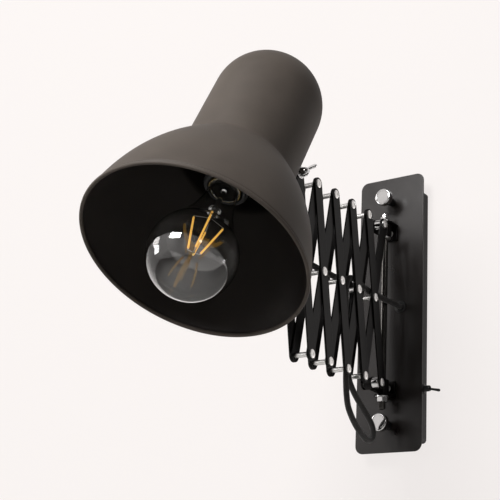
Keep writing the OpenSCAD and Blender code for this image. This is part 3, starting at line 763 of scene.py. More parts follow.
@dataclass(frozen=True)
class Lacquer:
    """Sprayed coat: an even colour, a fine orange peel and a little dust in the gloss."""

    name: str
    color: tuple[float, float, float]
    rough: float
    peel: float = 0.12
    peel_scale: float = 900.0
    specular: float = 0.5

    def material(self) -> bpy.types.Material:
        """Builds the coat's material.

        Returns:
            The material.
        """
        n = Nodes(self.name)
        broad = n.noise(28.0, 4.0)
        fine = n.noise(self.peel_scale, 2.0)
        lighter = tuple(c * 1.12 for c in self.color)
        darker = tuple(c * 0.9 for c in self.color)
        n.blend_color(n.spread(broad, 0.0, 1.0), darker, lighter)
        n.link(n.spread(broad, self.rough - 0.03, self.rough + 0.04), n.shader.inputs["Roughness"])
        n.bump(fine, self.peel, 0.0002)
        n.set(Specular_IOR_Level=self.specular)
        return n.material


@dataclass(frozen=True)
class Plating:
    """Bright or dull metal with fine handling marks."""

    name: str
    color: tuple[float, float, float]
    rough: float
    marks: float = 0.03

    def material(self) -> bpy.types.Material:
        """Builds the metal's material.

        Returns:
            The material.
        """
        n = Nodes(self.name)
        marks = n.noise(420.0, 5.0, 0.7)
        n.blend_color(n.spread(marks, 0.0, 1.0), tuple(c * 0.93 for c in self.color), self.color)
        n.link(n.spread(marks, self.rough, self.rough + self.marks), n.shader.inputs["Roughness"])
        n.set(Metallic=1.0)
        return n.material


@dataclass(frozen=True)
class Moulding:
    """Moulded plastic with a faint grain."""

    name: str
    color: tuple[float, float, float]
    rough: float

    def material(self) -> bpy.types.Material:
        """Builds the plastic's material.

        Returns:
            The material.
        """
        n = Nodes(self.name)
        grain = n.noise(1400.0, 2.0)
        broad = n.noise(60.0, 3.0)
        n.blend_color(n.spread(broad, 0.0, 1.0), tuple(c * 0.92 for c in self.color), self.color)
        n.link(n.spread(broad, self.rough - 0.04, self.rough + 0.05), n.shader.inputs["Roughness"])
        n.bump(grain, 0.08, 0.0001)
        return n.material


@dataclass(frozen=True)
class BlownGlass:
    """Clear blown glass."""

    name: str
    tint: tuple[float, float, float] = (0.98, 0.985, 0.98)
    ior: float = 1.62

    def material(self) -> bpy.types.Material:
        """Builds the glass's material, with a ripple too faint to see but in its reflections.

        Returns:
            The material.
        """
        n = Nodes(self.name)
        n.set(Base_Color=(*self.tint, 1), Roughness=0.0, IOR=self.ior, Transmission_Weight=1.0)
        n.bump(n.noise(40.0, 1.0), 0.02, 0.0003)
        return n.material


@dataclass(frozen=True)
class AmberRod:
    """Filament rods under a yellow phosphor coat."""

    name: str = "amber_phosphor"
    color: tuple[float, float, float] = (0.95, 0.52, 0.10)

    def material(self) -> bpy.types.Material:
        """Builds the coat's material: waxy and lightly mottled, with a faint painted glow on the unlit rods.

        Returns:
            The material.
        """
        n = Nodes(self.name)
        spots = n.noise(700.0, 3.0)
        n.blend_color(n.spread(spots, 0.0, 1.0), tuple(c * 0.85 for c in self.color), self.color)
        n.set(Roughness=0.45, Subsurface_Weight=0.25, Subsurface_Scale=0.002)
        # Painted glow: the bulb is unlit, and this emission only makes the rods read brighter.
        n.set(Emission_Color=(*self.color, 1), Emission_Strength=0.8)
        n.bump(spots, 0.1, 0.0001)
        return n.material


@dataclass(frozen=True)
class WovenSleeve:
    """Black braided cable sleeve: two sets of diagonal threads that cross over and under."""

    name: str = "woven_black_sleeve"
    color: tuple[float, float, float] = (0.020, 0.018, 0.017)
    threads: float = 14.0
    radius: float = 3.0

    def material(self) -> bpy.types.Material:
        """Builds the braid from the tube's own UV map, in millimetres round and along it, with painted shade in the
        valleys between the threads.

        Returns:
            The material.
        """
        n = Nodes(self.name)
        part = n.tree.nodes.new("ShaderNodeSeparateXYZ")
        n.link(n.coords.outputs["UV"], part.inputs[0])
        k = self.threads / self.radius
        u = n.math("MULTIPLY", part.outputs[0], k)
        v = n.math("MULTIPLY", part.outputs[1], k)
        one = n.math("ABSOLUTE", n.math("SINE", n.math("MULTIPLY", n.math("ADD", u, v), 0.5)))
        two = n.math("ABSOLUTE", n.math("SINE", n.math("MULTIPLY", n.math("SUBTRACT", u, v), 0.5)))
        height = n.math("MAXIMUM", one, two)
        # Painted shade: the colour falls to about a third in the valleys between the threads.
        n.blend_color(n.math("POWER", height, 2.0), tuple(c * 0.35 for c in self.color), self.color)
        n.bump(height, 0.7, 0.0003)
        n.set(Roughness=0.82, Sheen_Weight=0.25, Sheen_Roughness=0.5)
        return n.material


@dataclass
class Finishes:
    """Every finish on the lamp, built once."""

    plate: bpy.types.Material
    box: bpy.types.Material
    arm: bpy.types.Material
    shade: bpy.types.Material
    shade_inside: bpy.types.Material
    chrome: bpy.types.Material
    zinc: bpy.types.Material
    plastic: bpy.types.Material
    cream: bpy.types.Material
    glass: bpy.types.Material
    brass: bpy.types.Material
    filament: bpy.types.Material
    cable: bpy.types.Material
    dark: bpy.types.Material
    dark_steel: bpy.types.Material
    rivet: bpy.types.Material

    @classmethod
    def build(cls) -> "Finishes":
        """Makes all the materials.

        Returns:
            The finishes.
        """
        return cls(
            plate=Lacquer("satin_black_plate", (0.0095, 0.0070, 0.0062), 0.30, 0.08,
                          specular=0.35).material(),
            box=Lacquer("matt_black_box", (0.010, 0.009, 0.009), 0.55, 0.15, specular=0.3).material(),
            arm=Lacquer("black_arm_lacquer", (0.0032, 0.0025, 0.0023), 0.36, 0.06, specular=0.14).material(),
            shade=Lacquer("warm_black_shade", (0.072, 0.060, 0.051), 0.58, 0.10, specular=0.18).material(),
            shade_inside=Lacquer("matt_black_inside", (0.026, 0.022, 0.020), 0.62, 0.12,
                                 specular=0.25).material(),
            chrome=Plating("polished_chrome", (0.80, 0.80, 0.80), 0.06, 0.04).material(),
            zinc=Plating("zinc_plate", (0.58, 0.58, 0.57), 0.30, 0.12).material(),
            plastic=Moulding("black_moulding", (0.012, 0.012, 0.012), 0.42).material(),
            cream=Moulding("cream_moulding", (0.70, 0.67, 0.60), 0.35).material(),
            glass=BlownGlass("clear_glass").material(),
            # The bulb's brass cap is darkened as painted shade, for its place deep inside the shade's cap.
            brass=Plating("dull_brass_with_painted_shade", (0.36, 0.27, 0.12), 0.34, 0.10).material(),
            filament=AmberRod().material(),
            cable=WovenSleeve().material(),
            # A near-black finish painted as shade: it covers the disc that closes the screw cap at the glass neck.
            dark=Moulding("painted_recess_shade", (0.004, 0.004, 0.004), 0.6).material(),
            dark_steel=Plating("blackened_steel", (0.10, 0.095, 0.09), 0.24).material(),
            rivet=Plating("satin_rivet", (0.92, 0.91, 0.89), 0.30, 0.06).material(),
        )

    def by_slot(self, slot: str) -> bpy.types.Material:
        """The finish for one of the record's slots.

        Args:
            slot: the slot's name.

        Returns:
            Its material.
        """
        table = {
            Slot.PLATE: self.plate, Slot.BOX: self.box, Slot.ARM: self.arm, Slot.SHADE: self.shade,
            Slot.CHROME: self.chrome, Slot.ZINC: self.zinc, Slot.PLASTIC: self.plastic,
            Slot.CREAM: self.cream, Slot.GLASS: self.glass, Slot.BRASS: self.brass,
            Slot.FILAMENT: self.filament, Slot.CABLE: self.cable,
        }
        return table[Slot(slot)]


def dress_solids(frame: dict, finishes: Finishes) -> None:
    """Gives every solid the finish of its slot.

    Args:
        finishes: the lamp's materials.
    """
    slots = {s["node"]: s["material_slot"] for s in frame["record"]["subparts"]}
    for name, obj in frame["nodes"].items():
        obj.data.materials.clear()
        obj.data.materials.append(finishes.by_slot(slots[name]))


def place(obj: bpy.types.Object, body: str, slot: Slot, nodes: Sequence[str]) -> None:
    """Hangs a piece on its body, names its slot and the solids that it stands for.

    Args:
        obj: the piece.
        body: the body that it rides on.
        slot: the record's material slot.
        nodes: the solids that it replaces.
    """
    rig.ride(obj, body)
    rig.slot(obj, slot.value)
    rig.replaces(obj, *nodes)
    LOG.info("%s rides on %s, %d faces", obj.name, body, len(obj.data.polygons))


# Pieces


@dataclass
class WallUnit:
    """Cover plate, knobs, lugs, rod, switch and grommet."""

    finishes: Finishes
    body: str = "wall_unit"
    edge: float = 0.45
    box_w: float = 71.0
    box_d: float = 14.5
    box_wall: float = 1.2
    knob_r: float = 9.0
    knob_t: float = 7.0
    knob_edges: tuple[float, float] = (0.9, 1.1)
    stud_bore: float = 2.6
    stem_r: float = 4.6
    sleeve_l: float = 13.5
    lug_w: float = 17.0
    lug_t: float = 2.5
    lug_foot: float = 15.0
    washer_r: float = 7.4
    washer_t: float = 1.0
    nut_r: float = 5.8
    nut_h: float = 5.0
    cap_hex_h: float = 4.0
    cap_neck_h: float = 2.6
    cap_dome_r: float = 3.7
    tail: float = 7.5
    stop_r: float = 6.0
    stop_h: float = 2.0
    switch_z: float = -85.0
    bushing_r: float = 3.2
    bushing_out: float = 7.5
    thread_step: float = 0.4
    thread_depth: float = 0.22
    switch_block: tuple[float, float, float] = (11.4, 14.0, 12.0)
    ring_nut_r: float = 5.2
    ring_nut_h: float = 2.0
    ball_r: float = 2.2
    lever_r: float = 1.5
    lever_sink: float = 3.0
    lever_l: float = 15.0
    lever_tilt: float = 12.0
    grommet: tuple[float, float] = (12.5, 2.5)
    lip_r: float = 0.7

    def put(self, work: Surface, name: str, material: bpy.types.Material, slot: Slot, node: str,
            angle: float = 30.0) -> None:
        """Makes one piece of the wall unit from its surface.

        Args:
            work: the piece's surface.
            name: its name.
            material: its finish.
            slot: the record's material slot.
            node: the solid that it replaces.
            angle: edges that turn more than this many degrees stay sharp.
        """
        place(work.to_object(name, [material], angle), self.body, slot, [node])

    def plate(self) -> None:
        """Cover plate: a rounded rectangle with softly broken edges."""
        outline, normals = rounded_box(LAMP.plate_w, LAMP.plate_h, LAMP.plate_corner, 14)
        back = LAMP.plate_face + LAMP.plate_t
        grid = lay_forward(prism(outline, normals, -back, -LAMP.plate_face, self.edge))
        self.put(Surface().add(grid), "cover_plate", self.finishes.plate, Slot.PLATE, "front_plate", 40)

    def knobs(self) -> None:
        """Two turned knobs with a faint ring cut on each face, on black sleeves."""
        t, r = self.knob_t, self.knob_r
        back, front = self.knob_edges
        groove = [[r - 1.9, t - 0.02], [r - 2.1, t - 0.16], [r - 2.3, t - 0.02]]
        profile = np.concatenate([
            [[self.stud_bore + 0.1, 0.0], [r - back, 0.0]],
            arc(r - back, back, back, -80, 0, 6),
            arc(r - front, t - front, front, 0, 88, 8),
            groove,
            [[4.0, t - 0.01], [0.0, t]],
        ])
        stem = sleeve(self.stud_bore, self.stem_r, 0, self.sleeve_l, 0.25)
        heads, stems = Surface(), Surface()
        for s in (-1, 1):
            foot = np.array([0, LAMP.plate_face, s * LAMP.knob_z])
            heads.add(lay_forward(lathe(on_axis(profile))) + foot - [0, self.sleeve_l, 0])
            stems.add(lay_forward(lathe(stem, 64)) + foot)
        self.put(heads, "knob_heads", self.finishes.chrome, Slot.CHROME, "cover_knobs")
        self.put(stems, "knob_stems", self.finishes.plastic, Slot.PLASTIC, "knob_sleeves", 40)

    def rod(self) -> None:
        """Upright rod with a pointed tail, its washers, the domed nut and the lower nut."""
        top = LAMP.lug_z + self.lug_t + self.washer_t
        end = -(top + self.nut_h + self.tail)
        r = LAMP.rod_r
        body = np.array([[0, end + 1.6], [1.1, end + 1.5], [1.4, end + 0.1], [1.9, end], [2.9, end + 0.35],
                         [r, end + 1.3], [r, top + self.cap_hex_h], [0, top + self.cap_hex_h]])
        foot = np.array([0, LAMP.rod_y, 0])
        chrome = self.finishes.chrome
        rod = Surface().add(lathe(body, 64) + foot)
        self.put(rod, "upright_rod", self.finishes.dark_steel, Slot.CHROME, "swivel_rod", 35)
        ring = lathe(sleeve(r + PLAY, self.washer_r, 0, self.washer_t, 0.25), 72) + foot
        washers = Surface().add(ring + [0, 0, top - self.washer_t]).add(ring - [0, 0, top])
        self.put(washers, "rod_washer_pair", chrome, Slot.CHROME, "rod_washers")
        neck = self.cap_hex_h + self.cap_neck_h
        round_top = arc(0, neck, self.cap_dome_r, 0, 90, 14)
        dome = np.concatenate([[[self.cap_dome_r, self.cap_hex_h - 0.4]], round_top])
        nut = Surface().add(hexagon(self.nut_r, 0, self.cap_hex_h) + foot + [0, 0, top])
        nut.add(lathe(on_axis(dome), 64) + foot + [0, 0, top])
        self.put(nut, "domed_nut", chrome, Slot.CHROME, "rod_cap_nut")
        lower = Surface().add(hexagon(self.nut_r, 0, self.nut_h) + foot - [0, 0, top + self.nut_h])
        self.put(lower, "lower_nut", chrome, Slot.CHROME, "rod_lock_nut")
        seat = LAMP.top(0)[2] - LAMP.block_h / 2
        ring = lathe(sleeve(r + PLAY, self.stop_r, seat - self.stop_h, seat, 0.4), 64) + foot
        self.put(Surface().add(ring), "stop_ring", self.finishes.zinc, Slot.ZINC, "rod_stop_ring")

    def lugs(self) -> None:
        """Angle brackets: an ear with a round end on a foot, and the screw through each foot."""
        w = self.lug_w / 2
        y0, y1 = LAMP.rod_y, LAMP.plate_face
        ear = np.concatenate([[[w, y1 - 0.4], [-w, y1 - 0.4]], arc(0, y0, w, 180, 360, 32)])
        foot, foot_n = rounded_box(self.lug_w, self.lug_foot + self.lug_t, 1.2, 5)
        screws = Surface()
        for s, name, node in ((1, "upper_bracket", "upper_lug"), (-1, "lower_bracket", "lower_lug")):
            flip = np.array([1, 1, s])
            work = Surface()
            work.add(prism(ear, normals_of(ear), LAMP.lug_z, LAMP.lug_z + self.lug_t, 0.35) * flip)
            middle = LAMP.lug_z + (self.lug_t - self.lug_foot) / 2
            work.add((lay_forward(prism(foot, foot_n, 0, self.lug_t, 0.35)) + [0, y1, middle]) * flip)
            self.put(work, name, self.finishes.arm, Slot.ARM, node, 50)
            head = lay_forward(lathe(on_axis(pan_head(3.8, 2.0, 1.3)), 48))
            screws.add(head + [0, y1 - self.lug_t, s * (LAMP.lug_z - self.lug_foot / 2)])
        self.put(screws, "bracket_screws", self.finishes.zinc, Slot.ZINC, "lug_screws")

    def switch(self) -> None:
        """Toggle switch in the box's side: body, threaded bushing, ring nut and bat lever."""
        side = self.box_w / 2
        seat = np.array([0, -self.box_d / 2, self.switch_z])
        tip = side + self.bushing_out
        count = int(self.bushing_out / self.thread_step)
        thread = [[self.bushing_r - self.thread_depth * (k % 2), side + self.thread_step * k]
                  for k in range(count)]
        barrel = np.concatenate([[[self.bushing_r - 0.1, side - self.box_wall]], thread,
                                 [[2.9, tip], [2.3, tip], [2.3, tip - 5.2]]])
        wide, tall, deep = self.switch_block
        block, block_n = rounded_box(wide, tall, 0.8, 4)
        work = Surface().add(lay_x(lathe(on_axis(barrel), 48)) + seat)
        inner = side - self.box_wall
        work.add(lay_x(prism(block, block_n, inner - deep, inner, 0.4)) + seat)
        self.put(work, "toggle_body", self.finishes.plastic, Slot.PLASTIC, "switch_body")
        nut = lay_x(hexagon(self.ring_nut_r, side, side + self.ring_nut_h)) + seat
        self.put(Surface().add(nut), "toggle_nut", self.finishes.plastic, Slot.PLASTIC, "switch_nut")
        long, r = self.lever_l, self.lever_r
        bat = np.concatenate([arc(0, 0, self.ball_r, -90, 58, 12),
                              [[1.15, 2.4], [1.15, 4.5], [1.28, long * 0.6], [r, long - r - 0.6]],
                              arc(0, long - r, r, 0, 90, 8)])
        grid = lathe(bat, 32)
        a = math.radians(90 + self.lever_tilt)
        turned = np.stack([grid[..., 0] * math.cos(a) + grid[..., 2] * math.sin(a), grid[..., 1],
                           grid[..., 2] * math.cos(a) - grid[..., 0] * math.sin(a)], -1)
        lever = Surface().add(turned + seat + [tip - self.lever_sink, 0, 0])
        place(lever.to_object("toggle_lever", [self.finishes.plastic], 40), "switch_toggle", Slot.PLASTIC,
              ["switch_lever"])

    def cable_exit(self) -> None:
        """Rubber grommet with a rounded lip."""
        x, z = self.grommet
        bore, back, lip = LAMP.cable_bore, -LAMP.plate_t, self.lip_r
        profile = np.concatenate([[[bore, back], [5.2, back], [5.2, 0.0], [6.45, 0.0]],
                                  arc(5.9, 0.6, lip, -30, 90, 6), [[4.2, 0.6 + lip]],
                                  arc(bore + lip, 0.6, lip, 90, 180, 5), [[bore, back]]])
        work = Surface().add(lay_forward(lathe(profile, 64)) + [x, LAMP.plate_face, z])
        self.put(work, "grommet", self.finishes.plastic, Slot.PLASTIC, "cable_grommet", 50)

    def build(self) -> None:
        """Makes every piece of the wall unit."""
        self.plate()
        self.knobs()
        self.rod()
        self.lugs()
        self.switch()
        self.cable_exit()


@dataclass
class ScissorArm:
    """Bars and rivets of the five cells."""

    finishes: Finishes
    edge: float = 0.3
    shank: float = 2.0
    spacer: float = 2.5
    rivet_r: float = 4.3
    rivet_h: float = 1.0
    block_r: float = 6.6
    barrel_r: float = 6.2
    collar_r: float = 5.4
    barrel_end: float = 0.8
    bridge_w: float = 5.0
    shoulder_r: float = 4.2
    dimple: tuple[float, float] = (1.15, 0.4)
    film: float = 0.02

    def bar(self, centre: Array, side: Side, low: float, high: float) -> list[Array]:
        """A near and a far bar of one layer, leaning one way for the inner layer and the other for the outer.

        Args:
            centre: the pivot that the bar is measured from.
            side: its layer.
            low: height of the lower end's middle along the bar.
            high: height of the upper end's middle along the bar.

        Returns:
            Two grids.
        """
        outline, normals = stadium(LAMP.bar_w, low, high)
        x0 = LAMP.gap_x + side.value * LAMP.bar_t
        lean = LAMP.rest_angle * (1 if side is Side.OUTER else -1)
        flat = prism(outline, normals, x0 + self.film, x0 + LAMP.bar_t - self.film, self.edge, 3)
        near = turn_x(lay_x(flat), lean)
        far = near * [-1, 1, 1]
        return [near + centre, far[:, ::-1] + centre]

    def bars(self) -> None:
        """All ten pairs of bars."""
        half = LAMP.bar_l / 2
        for i in range(LAMP.cells):
            centre = LAMP.middle(i)
            low = -half if i < LAMP.cells - 1 else 0.0
            inner, outer = Surface(), Surface()
            for grid in self.bar(centre, Side.INNER, low, half):
                inner.add(grid)
            for grid in self.bar(centre, Side.OUTER, -half, half):
                outer.add(grid)
            place(inner.to_object(f"inner_bars_{i}", [self.finishes.arm], 50), f"inner_pair_{i}", Slot.ARM,
                  [f"inner_links_{i}"])
            place(outer.to_object(f"outer_bars_{i}", [self.finishes.arm], 50), f"outer_pair_{i}", Slot.ARM,
                  [f"outer_links_{i}"])

    def rivet(self, shoulder: Optional[Side] = None) -> Array:
        """One spacer bar with its shanks and domed heads, lying along X.

        Args:
            shoulder: the layer whose bar is missing, where a collar fills the room, or None.

        Returns:
            The grid.
        """
        g, t, r, h = LAMP.gap_x, LAMP.bar_t, self.rivet_r, self.rivet_h
        x = g + 2 * t
        step = [[self.spacer, g - 0.35], [self.spacer - 0.3, g - PLAY], [self.shank, g - PLAY]]
        if shoulder is Side.OUTER:
            wide = self.shoulder_r
            step += [[self.shank, g + t + PLAY], [wide, g + t + PLAY], [wide, x]]
        elif shoulder is Side.INNER:
            wide = self.shoulder_r
            near, far = g - PLAY, g + t - PLAY
            step = [[self.spacer, near], [wide, near], [wide, far], [self.shank, far]]
        rim = x + 0.35
        across = np.linspace(r - 0.1, 1.35, 9)
        fall = np.linspace(1, 0.02, 9)
        dome = np.stack([across, rim + (x + h - rim) * np.sqrt(1 - fall ** 2)], -1)
        head = [[self.shank, x], [r - 0.1, x], [r, x + 0.1], [r, rim]]
        wide, deep = self.dimple
        dimple = [[wide, x + h - 0.02], [wide - 0.25, x + h - 0.3], [0.0, x + h - deep]]
        one = np.concatenate([np.array(step), np.array(head), dome, np.array(dimple)])
        profile = np.concatenate([one[::-1] * [1, -1], one])
        return lay_x(lathe(profile, 40))

    def rivets(self) -> None:
        """The spacer bars of every outer pair, and those at the two blocks."""
        last = LAMP.cells - 1
        for i in range(LAMP.cells):
            places = [LAMP.middle(i)]
            if i < last:
                places.append(LAMP.top(i + 1))
            if i > 0:
                places.append(LAMP.bottom(i))
            work = Surface()
            for p in places:
                work.add(self.rivet() + p)
            place(work.to_object(f"rivets_{i}", [self.finishes.rivet], 30), f"outer_pair_{i}", Slot.CHROME,
                  [f"spacer_bars_{i}"])
        ends = (("rivet_top", Side.OUTER, LAMP.top(0), "swivel_carrier", "swivel_bar"),
                ("rivet_bottom", Side.INNER, LAMP.bottom(0), "rod_slider", "slider_bar"))
        for name, side, at, body, node in ends:
            obj = Surface().add(self.rivet(side) + at).to_object(name, [self.finishes.rivet], 30)
            place(obj, body, Slot.CHROME, [node])

    def blocks(self) -> None:
        """The cast blocks on the rod, each a sleeve and a barrel joined by a bridge, with a bright collar."""
        half, reach, bore = LAMP.block_h / 2, LAMP.first_reach, self.spacer + PLAY
        upright = lathe(sleeve(LAMP.rod_r + PLAY, self.block_r, -half, half, 0.6), 72) + [0, reach, 0]
        far, near = PLAY - LAMP.gap_x, LAMP.gap_x - PLAY
        barrel = lay_x(lathe(sleeve(bore, self.barrel_r, far, self.barrel_end, 0.5), 64))
        collar = lay_x(lathe(sleeve(bore, self.collar_r, self.barrel_end, near, 0.5), 64))
        web, web_n = rounded_box(self.bridge_w, reach - 1, 1.4, 5)
        bridge = prism(web, web_n, -half + 0.3, half - 0.3, 0.7)
        bridge = bridge + [self.barrel_end - self.bridge_w / 2, reach / 2, 0]
        ends = (("swivel", "swivel_carrier", LAMP.top(0)), ("slider", "rod_slider", LAMP.bottom(0)))
        for name, body, at in ends:
            work = Surface().add(upright + at).add(barrel + at).add(bridge + at)
            casting = work.to_object(f"{name}_casting", [self.finishes.arm], 40)
            place(casting, body, Slot.ARM, [f"{name}_block"])
            ring = Surface().add(collar + at).to_object(f"{name}_ring", [self.finishes.chrome], 30)
            place(ring, body, Slot.CHROME, [f"{name}_collar"])

    def build(self) -> None:
        """Makes bars, rivets and blocks."""
        self.bars()
        self.rivets()
        self.blocks()


@dataclass
class Shade:
    """Spun bell, cap and rolled rim, lacquered outside and matt inside."""

    finishes: Finishes
    body: str = "lamp_head"
    turns: int = 192
    hem_z: float = 5.2

    def outer(self) -> tuple[Array, Array]:
        """The outside from the rim to the top of the dome, with its outward normals.

        The bell is one arc from rim to shoulder, a small hollow arc makes the crease, then a straight
        cylinder and a quarter circle.

        Returns:
            Points (r, z) and normals.
        """
        rim, cap, sh, bulge = LAMP.rim_r, LAMP.cap_r, LAMP.shoulder, LAMP.bulge
        chord = math.hypot(rim - cap, sh)
        r = (chord * chord / 4 + bulge * bulge) / (2 * bulge)
        out = np.array([sh, rim - cap]) / chord
        c = np.array([(rim + cap) / 2, sh / 2]) - (r - bulge) * out
        k = LAMP.crease
        kc = np.array([cap + k, c[1] + math.sqrt((r + k) ** 2 - (cap + k - c[0]) ** 2)])
        meet = c + (kc - c) * r / (r + k)
        a0 = math.degrees(math.atan2(-c[1], math.sqrt(r * r - c[1] ** 2)))
        a1 = math.degrees(math.atan2(meet[1] - c[1], meet[0] - c[0]))
        bell = arc(c[0], c[1], r, a0, a1, 60)
        b0 = math.degrees(math.atan2(meet[1] - kc[1], meet[0] - kc[0])) % 360
        crease = arc(kc[0], kc[1], k, b0, 180, 16)[1:]
        tube_ = np.stack([np.full(14, cap), np.linspace(kc[1], LAMP.dome, 15)[1:]], -1)
        dome = arc(0, LAMP.dome, cap, 0, 90, 40)[1:]
        points = np.concatenate([bell, crease, tube_, dome])
        d = np.gradient(points, axis=0)
        normal = np.stack([d[:, 1], -d[:, 0]], -1)
        normal /= np.linalg.norm(normal, axis=1, keepdims=True)
        normal[-1] = [0, 1]
        return points, normal

    def build(self) -> None:
        """Makes the shade as one closed skin, with a shallow groove above the rolled hem at the rim."""
        points, normal = self.outer()
        keep = points[:, 1] > self.hem_z
        body, nb = points[keep], normal[keep]
        z = self.hem_z - np.array([0.2, 0.6, 0.9, 1.2, 1.6])
        depth = np.array([0.05, 0.5, 0.6, 0.45, 0.05])
        edge = np.interp(z, points[:, 1], points[:, 0])
        step = np.stack([edge - depth, z], -1)
        bead_c = np.array([LAMP.rim_r - LAMP.bead / 2 - PLAY, LAMP.bead + PLAY])
        roll = arc(bead_c[0], bead_c[1], LAMP.bead, 55, -235, 26)
        inner = body - LAMP.wall * nb
        inner = inner[inner[:, 0] >= 0]
        inner[-1, 0] = 0
        low = np.array([[edge[-1] - LAMP.wall, z[-1]]])
        outside = np.concatenate([body[::-1], step, roll])
        outside[0, 0] = 0
        inside = np.concatenate([roll[-1:], low, inner])
        work = Surface()
        work.add(in_head(lathe(outside, self.turns)), 0)
        work.add(in_head(lathe(inside, self.turns)), 1)
        obj = work.to_object("bell_shade", [self.finishes.shade, self.finishes.shade_inside], 60)
        place(obj, self.body, Slot.SHADE, ["shade"])


@dataclass
class TiltJoint:
    """Bolt, wing nut, washers, cast knuckle and its screws, and the cable's sleeve on the cap."""

    finishes: Finishes
    body: str = "lamp_head"
    bolt_r: float = 2.5
    bolt_head_r: float = 4.6
    bolt_head_h: float = 3.2
    washer_r: float = 6.4
    washer_t: float = 1.0
    hub_h: float = 6.0
    hub_r: float = 4.8
    bolt_tail: float = 2.5
    thread_step: float = 0.4
    thread_depth: float = 0.25
    wing_t: float = 2.0
    wing_span: float = 13.0
    wing_h: float = 9.0
    lobe_r: float = 4.0
    wing_root: float = 3.2
    wing_rest: float = -45.0
    knuckle_r: float = 6.2
    pad_t: float = 0.7
    saddle: tuple[float, float, float] = (22.0, 25.0, 2.2)
    web_r: float = 5.0
    screw_pitch: float = 17.0
    strap_y: float = 51.0
    strap_t: float = 1.6
    ribs: int = 7

    def bolt(self) -> None:
        """Hexagon bolt with a flat washer under the wing nut and a few threads past it."""
        x, r = LAMP.outer_x, self.bolt_r
        end = x + self.washer_t + self.hub_h + self.bolt_tail
        turns = 12
        thread = [[r - self.thread_depth * (k % 2), end - self.thread_step * (turns - k)]
                  for k in range(turns)]
        shank = np.concatenate([[[r, -x]], thread, [[r - 0.5, end]]])
        work = Surface().add(lay_x(lathe(on_axis(shank), 40)))
        work.add(lay_x(hexagon(self.bolt_head_r, -x - self.bolt_head_h, -x)))
        work.add(lay_x(lathe(sleeve(r, self.washer_r, x, x + self.washer_t, 0.25), 56)))
        work.points = [p + LAMP.top(LAMP.cells) * MM for p in work.points]
        last = f"outer_pair_{LAMP.cells - 1}"
        place(work.to_object("tilt_screw", [self.finishes.chrome], 30), last, Slot.CHROME, ["tilt_bolt"])
        inner = LAMP.gap_x + LAMP.bar_t
        pads = Surface()
        for side in (-1, 1):
            ring = lay_x(lathe(sleeve(r + PLAY, self.knuckle_r, inner - self.pad_t, inner - PLAY, 0.15), 56))
            pads.add(ring * [side, 1, 1] + LAMP.top(LAMP.cells))
        washers = pads.to_object("friction_pads", [self.finishes.plastic], 30)
        place(washers, last, Slot.PLASTIC, ["tilt_washers"])

    def wing_nut(self) -> None:
        """Tapered hub with two leaf-shaped wings that sweep outwards."""
        x = LAMP.outer_x + self.washer_t
        r, bore, end = self.hub_r, self.bolt_r + PLAY, x + self.hub_h
        hub = np.array([[bore, x], [r - 0.3, x], [r, x + 0.3], [r - 0.8, end - 0.4],
                        [r - 1.2, end], [bore, end], [bore, x]])
        leaf = np.concatenate([[[x, self.wing_root], [x + self.hub_h, self.wing_root]],
                               arc(x + self.wing_h, self.wing_span - self.lobe_r, self.lobe_r, -55, 150, 22)])
        flat = lay_forward(prism(leaf, normals_of(leaf), -self.wing_t / 2, self.wing_t / 2, 0.8, 5))
        work = Surface().add(lay_x(lathe(hub, 56)) + LAMP.top(LAMP.cells))
        for turn in (0, 180):
            work.add(turn_x(flat, self.wing_rest + turn) + LAMP.top(LAMP.cells))
        nut = work.to_object("wing_screw_nut", [self.finishes.chrome], 35)
        place(nut, "wing_nut", Slot.CHROME, ["wing_nut"])

    def knuckle(self) -> None:
        """Cast tongue round the bolt that spreads into a saddle bent to the cap."""
        y, z = LAMP.hinge_y, LAMP.hinge_z
        half = LAMP.gap_x + LAMP.bar_t - self.pad_t - PLAY
        near = LAMP.cap_r - 0.6
        tongue = np.concatenate([[[near, z + self.web_r], [near, z - self.web_r]],
                                 arc(y, z, self.knuckle_r, -90, 90, 24)])
        work = Surface().add(in_head(lay_x(prism(tongue, normals_of(tongue), -half, half, 0.6))))
        w, h, t = self.saddle
        pad, pad_n = rounded_box(w, h, 2.5, 6)
        bent = prism(pad, pad_n, LAMP.cap_r + 0.02, LAMP.cap_r + t, 0.6)
        out = np.sqrt(bent[..., 2] ** 2 - bent[..., 0] ** 2)
        work.add(in_head(np.stack([bent[..., 0], out, bent[..., 1] + z], -1)))
        casting = work.to_object("cast_knuckle", [self.finishes.arm], 45)
        place(casting, self.body, Slot.ARM, ["tilt_knuckle"])
        screws = Surface()
        inside = self.strap_y - self.strap_t
        for s in (-1, 1):
            at = np.array([0, 0, z + s * self.screw_pitch / 2])
            head = lay_back(lathe(on_axis(pan_head(2.6, 1.6, 0.9)), 40))
            screws.add(in_head(head + at + [0, LAMP.cap_r + t, 0]))
            screws.add(in_head(lay_back(hexagon(2.8, inside - 2.4, inside)) + at))
        obj = screws.to_object("saddle_screws", [self.finishes.zinc], 30)
        place(obj, self.body, Slot.ZINC, ["knuckle_screws"])

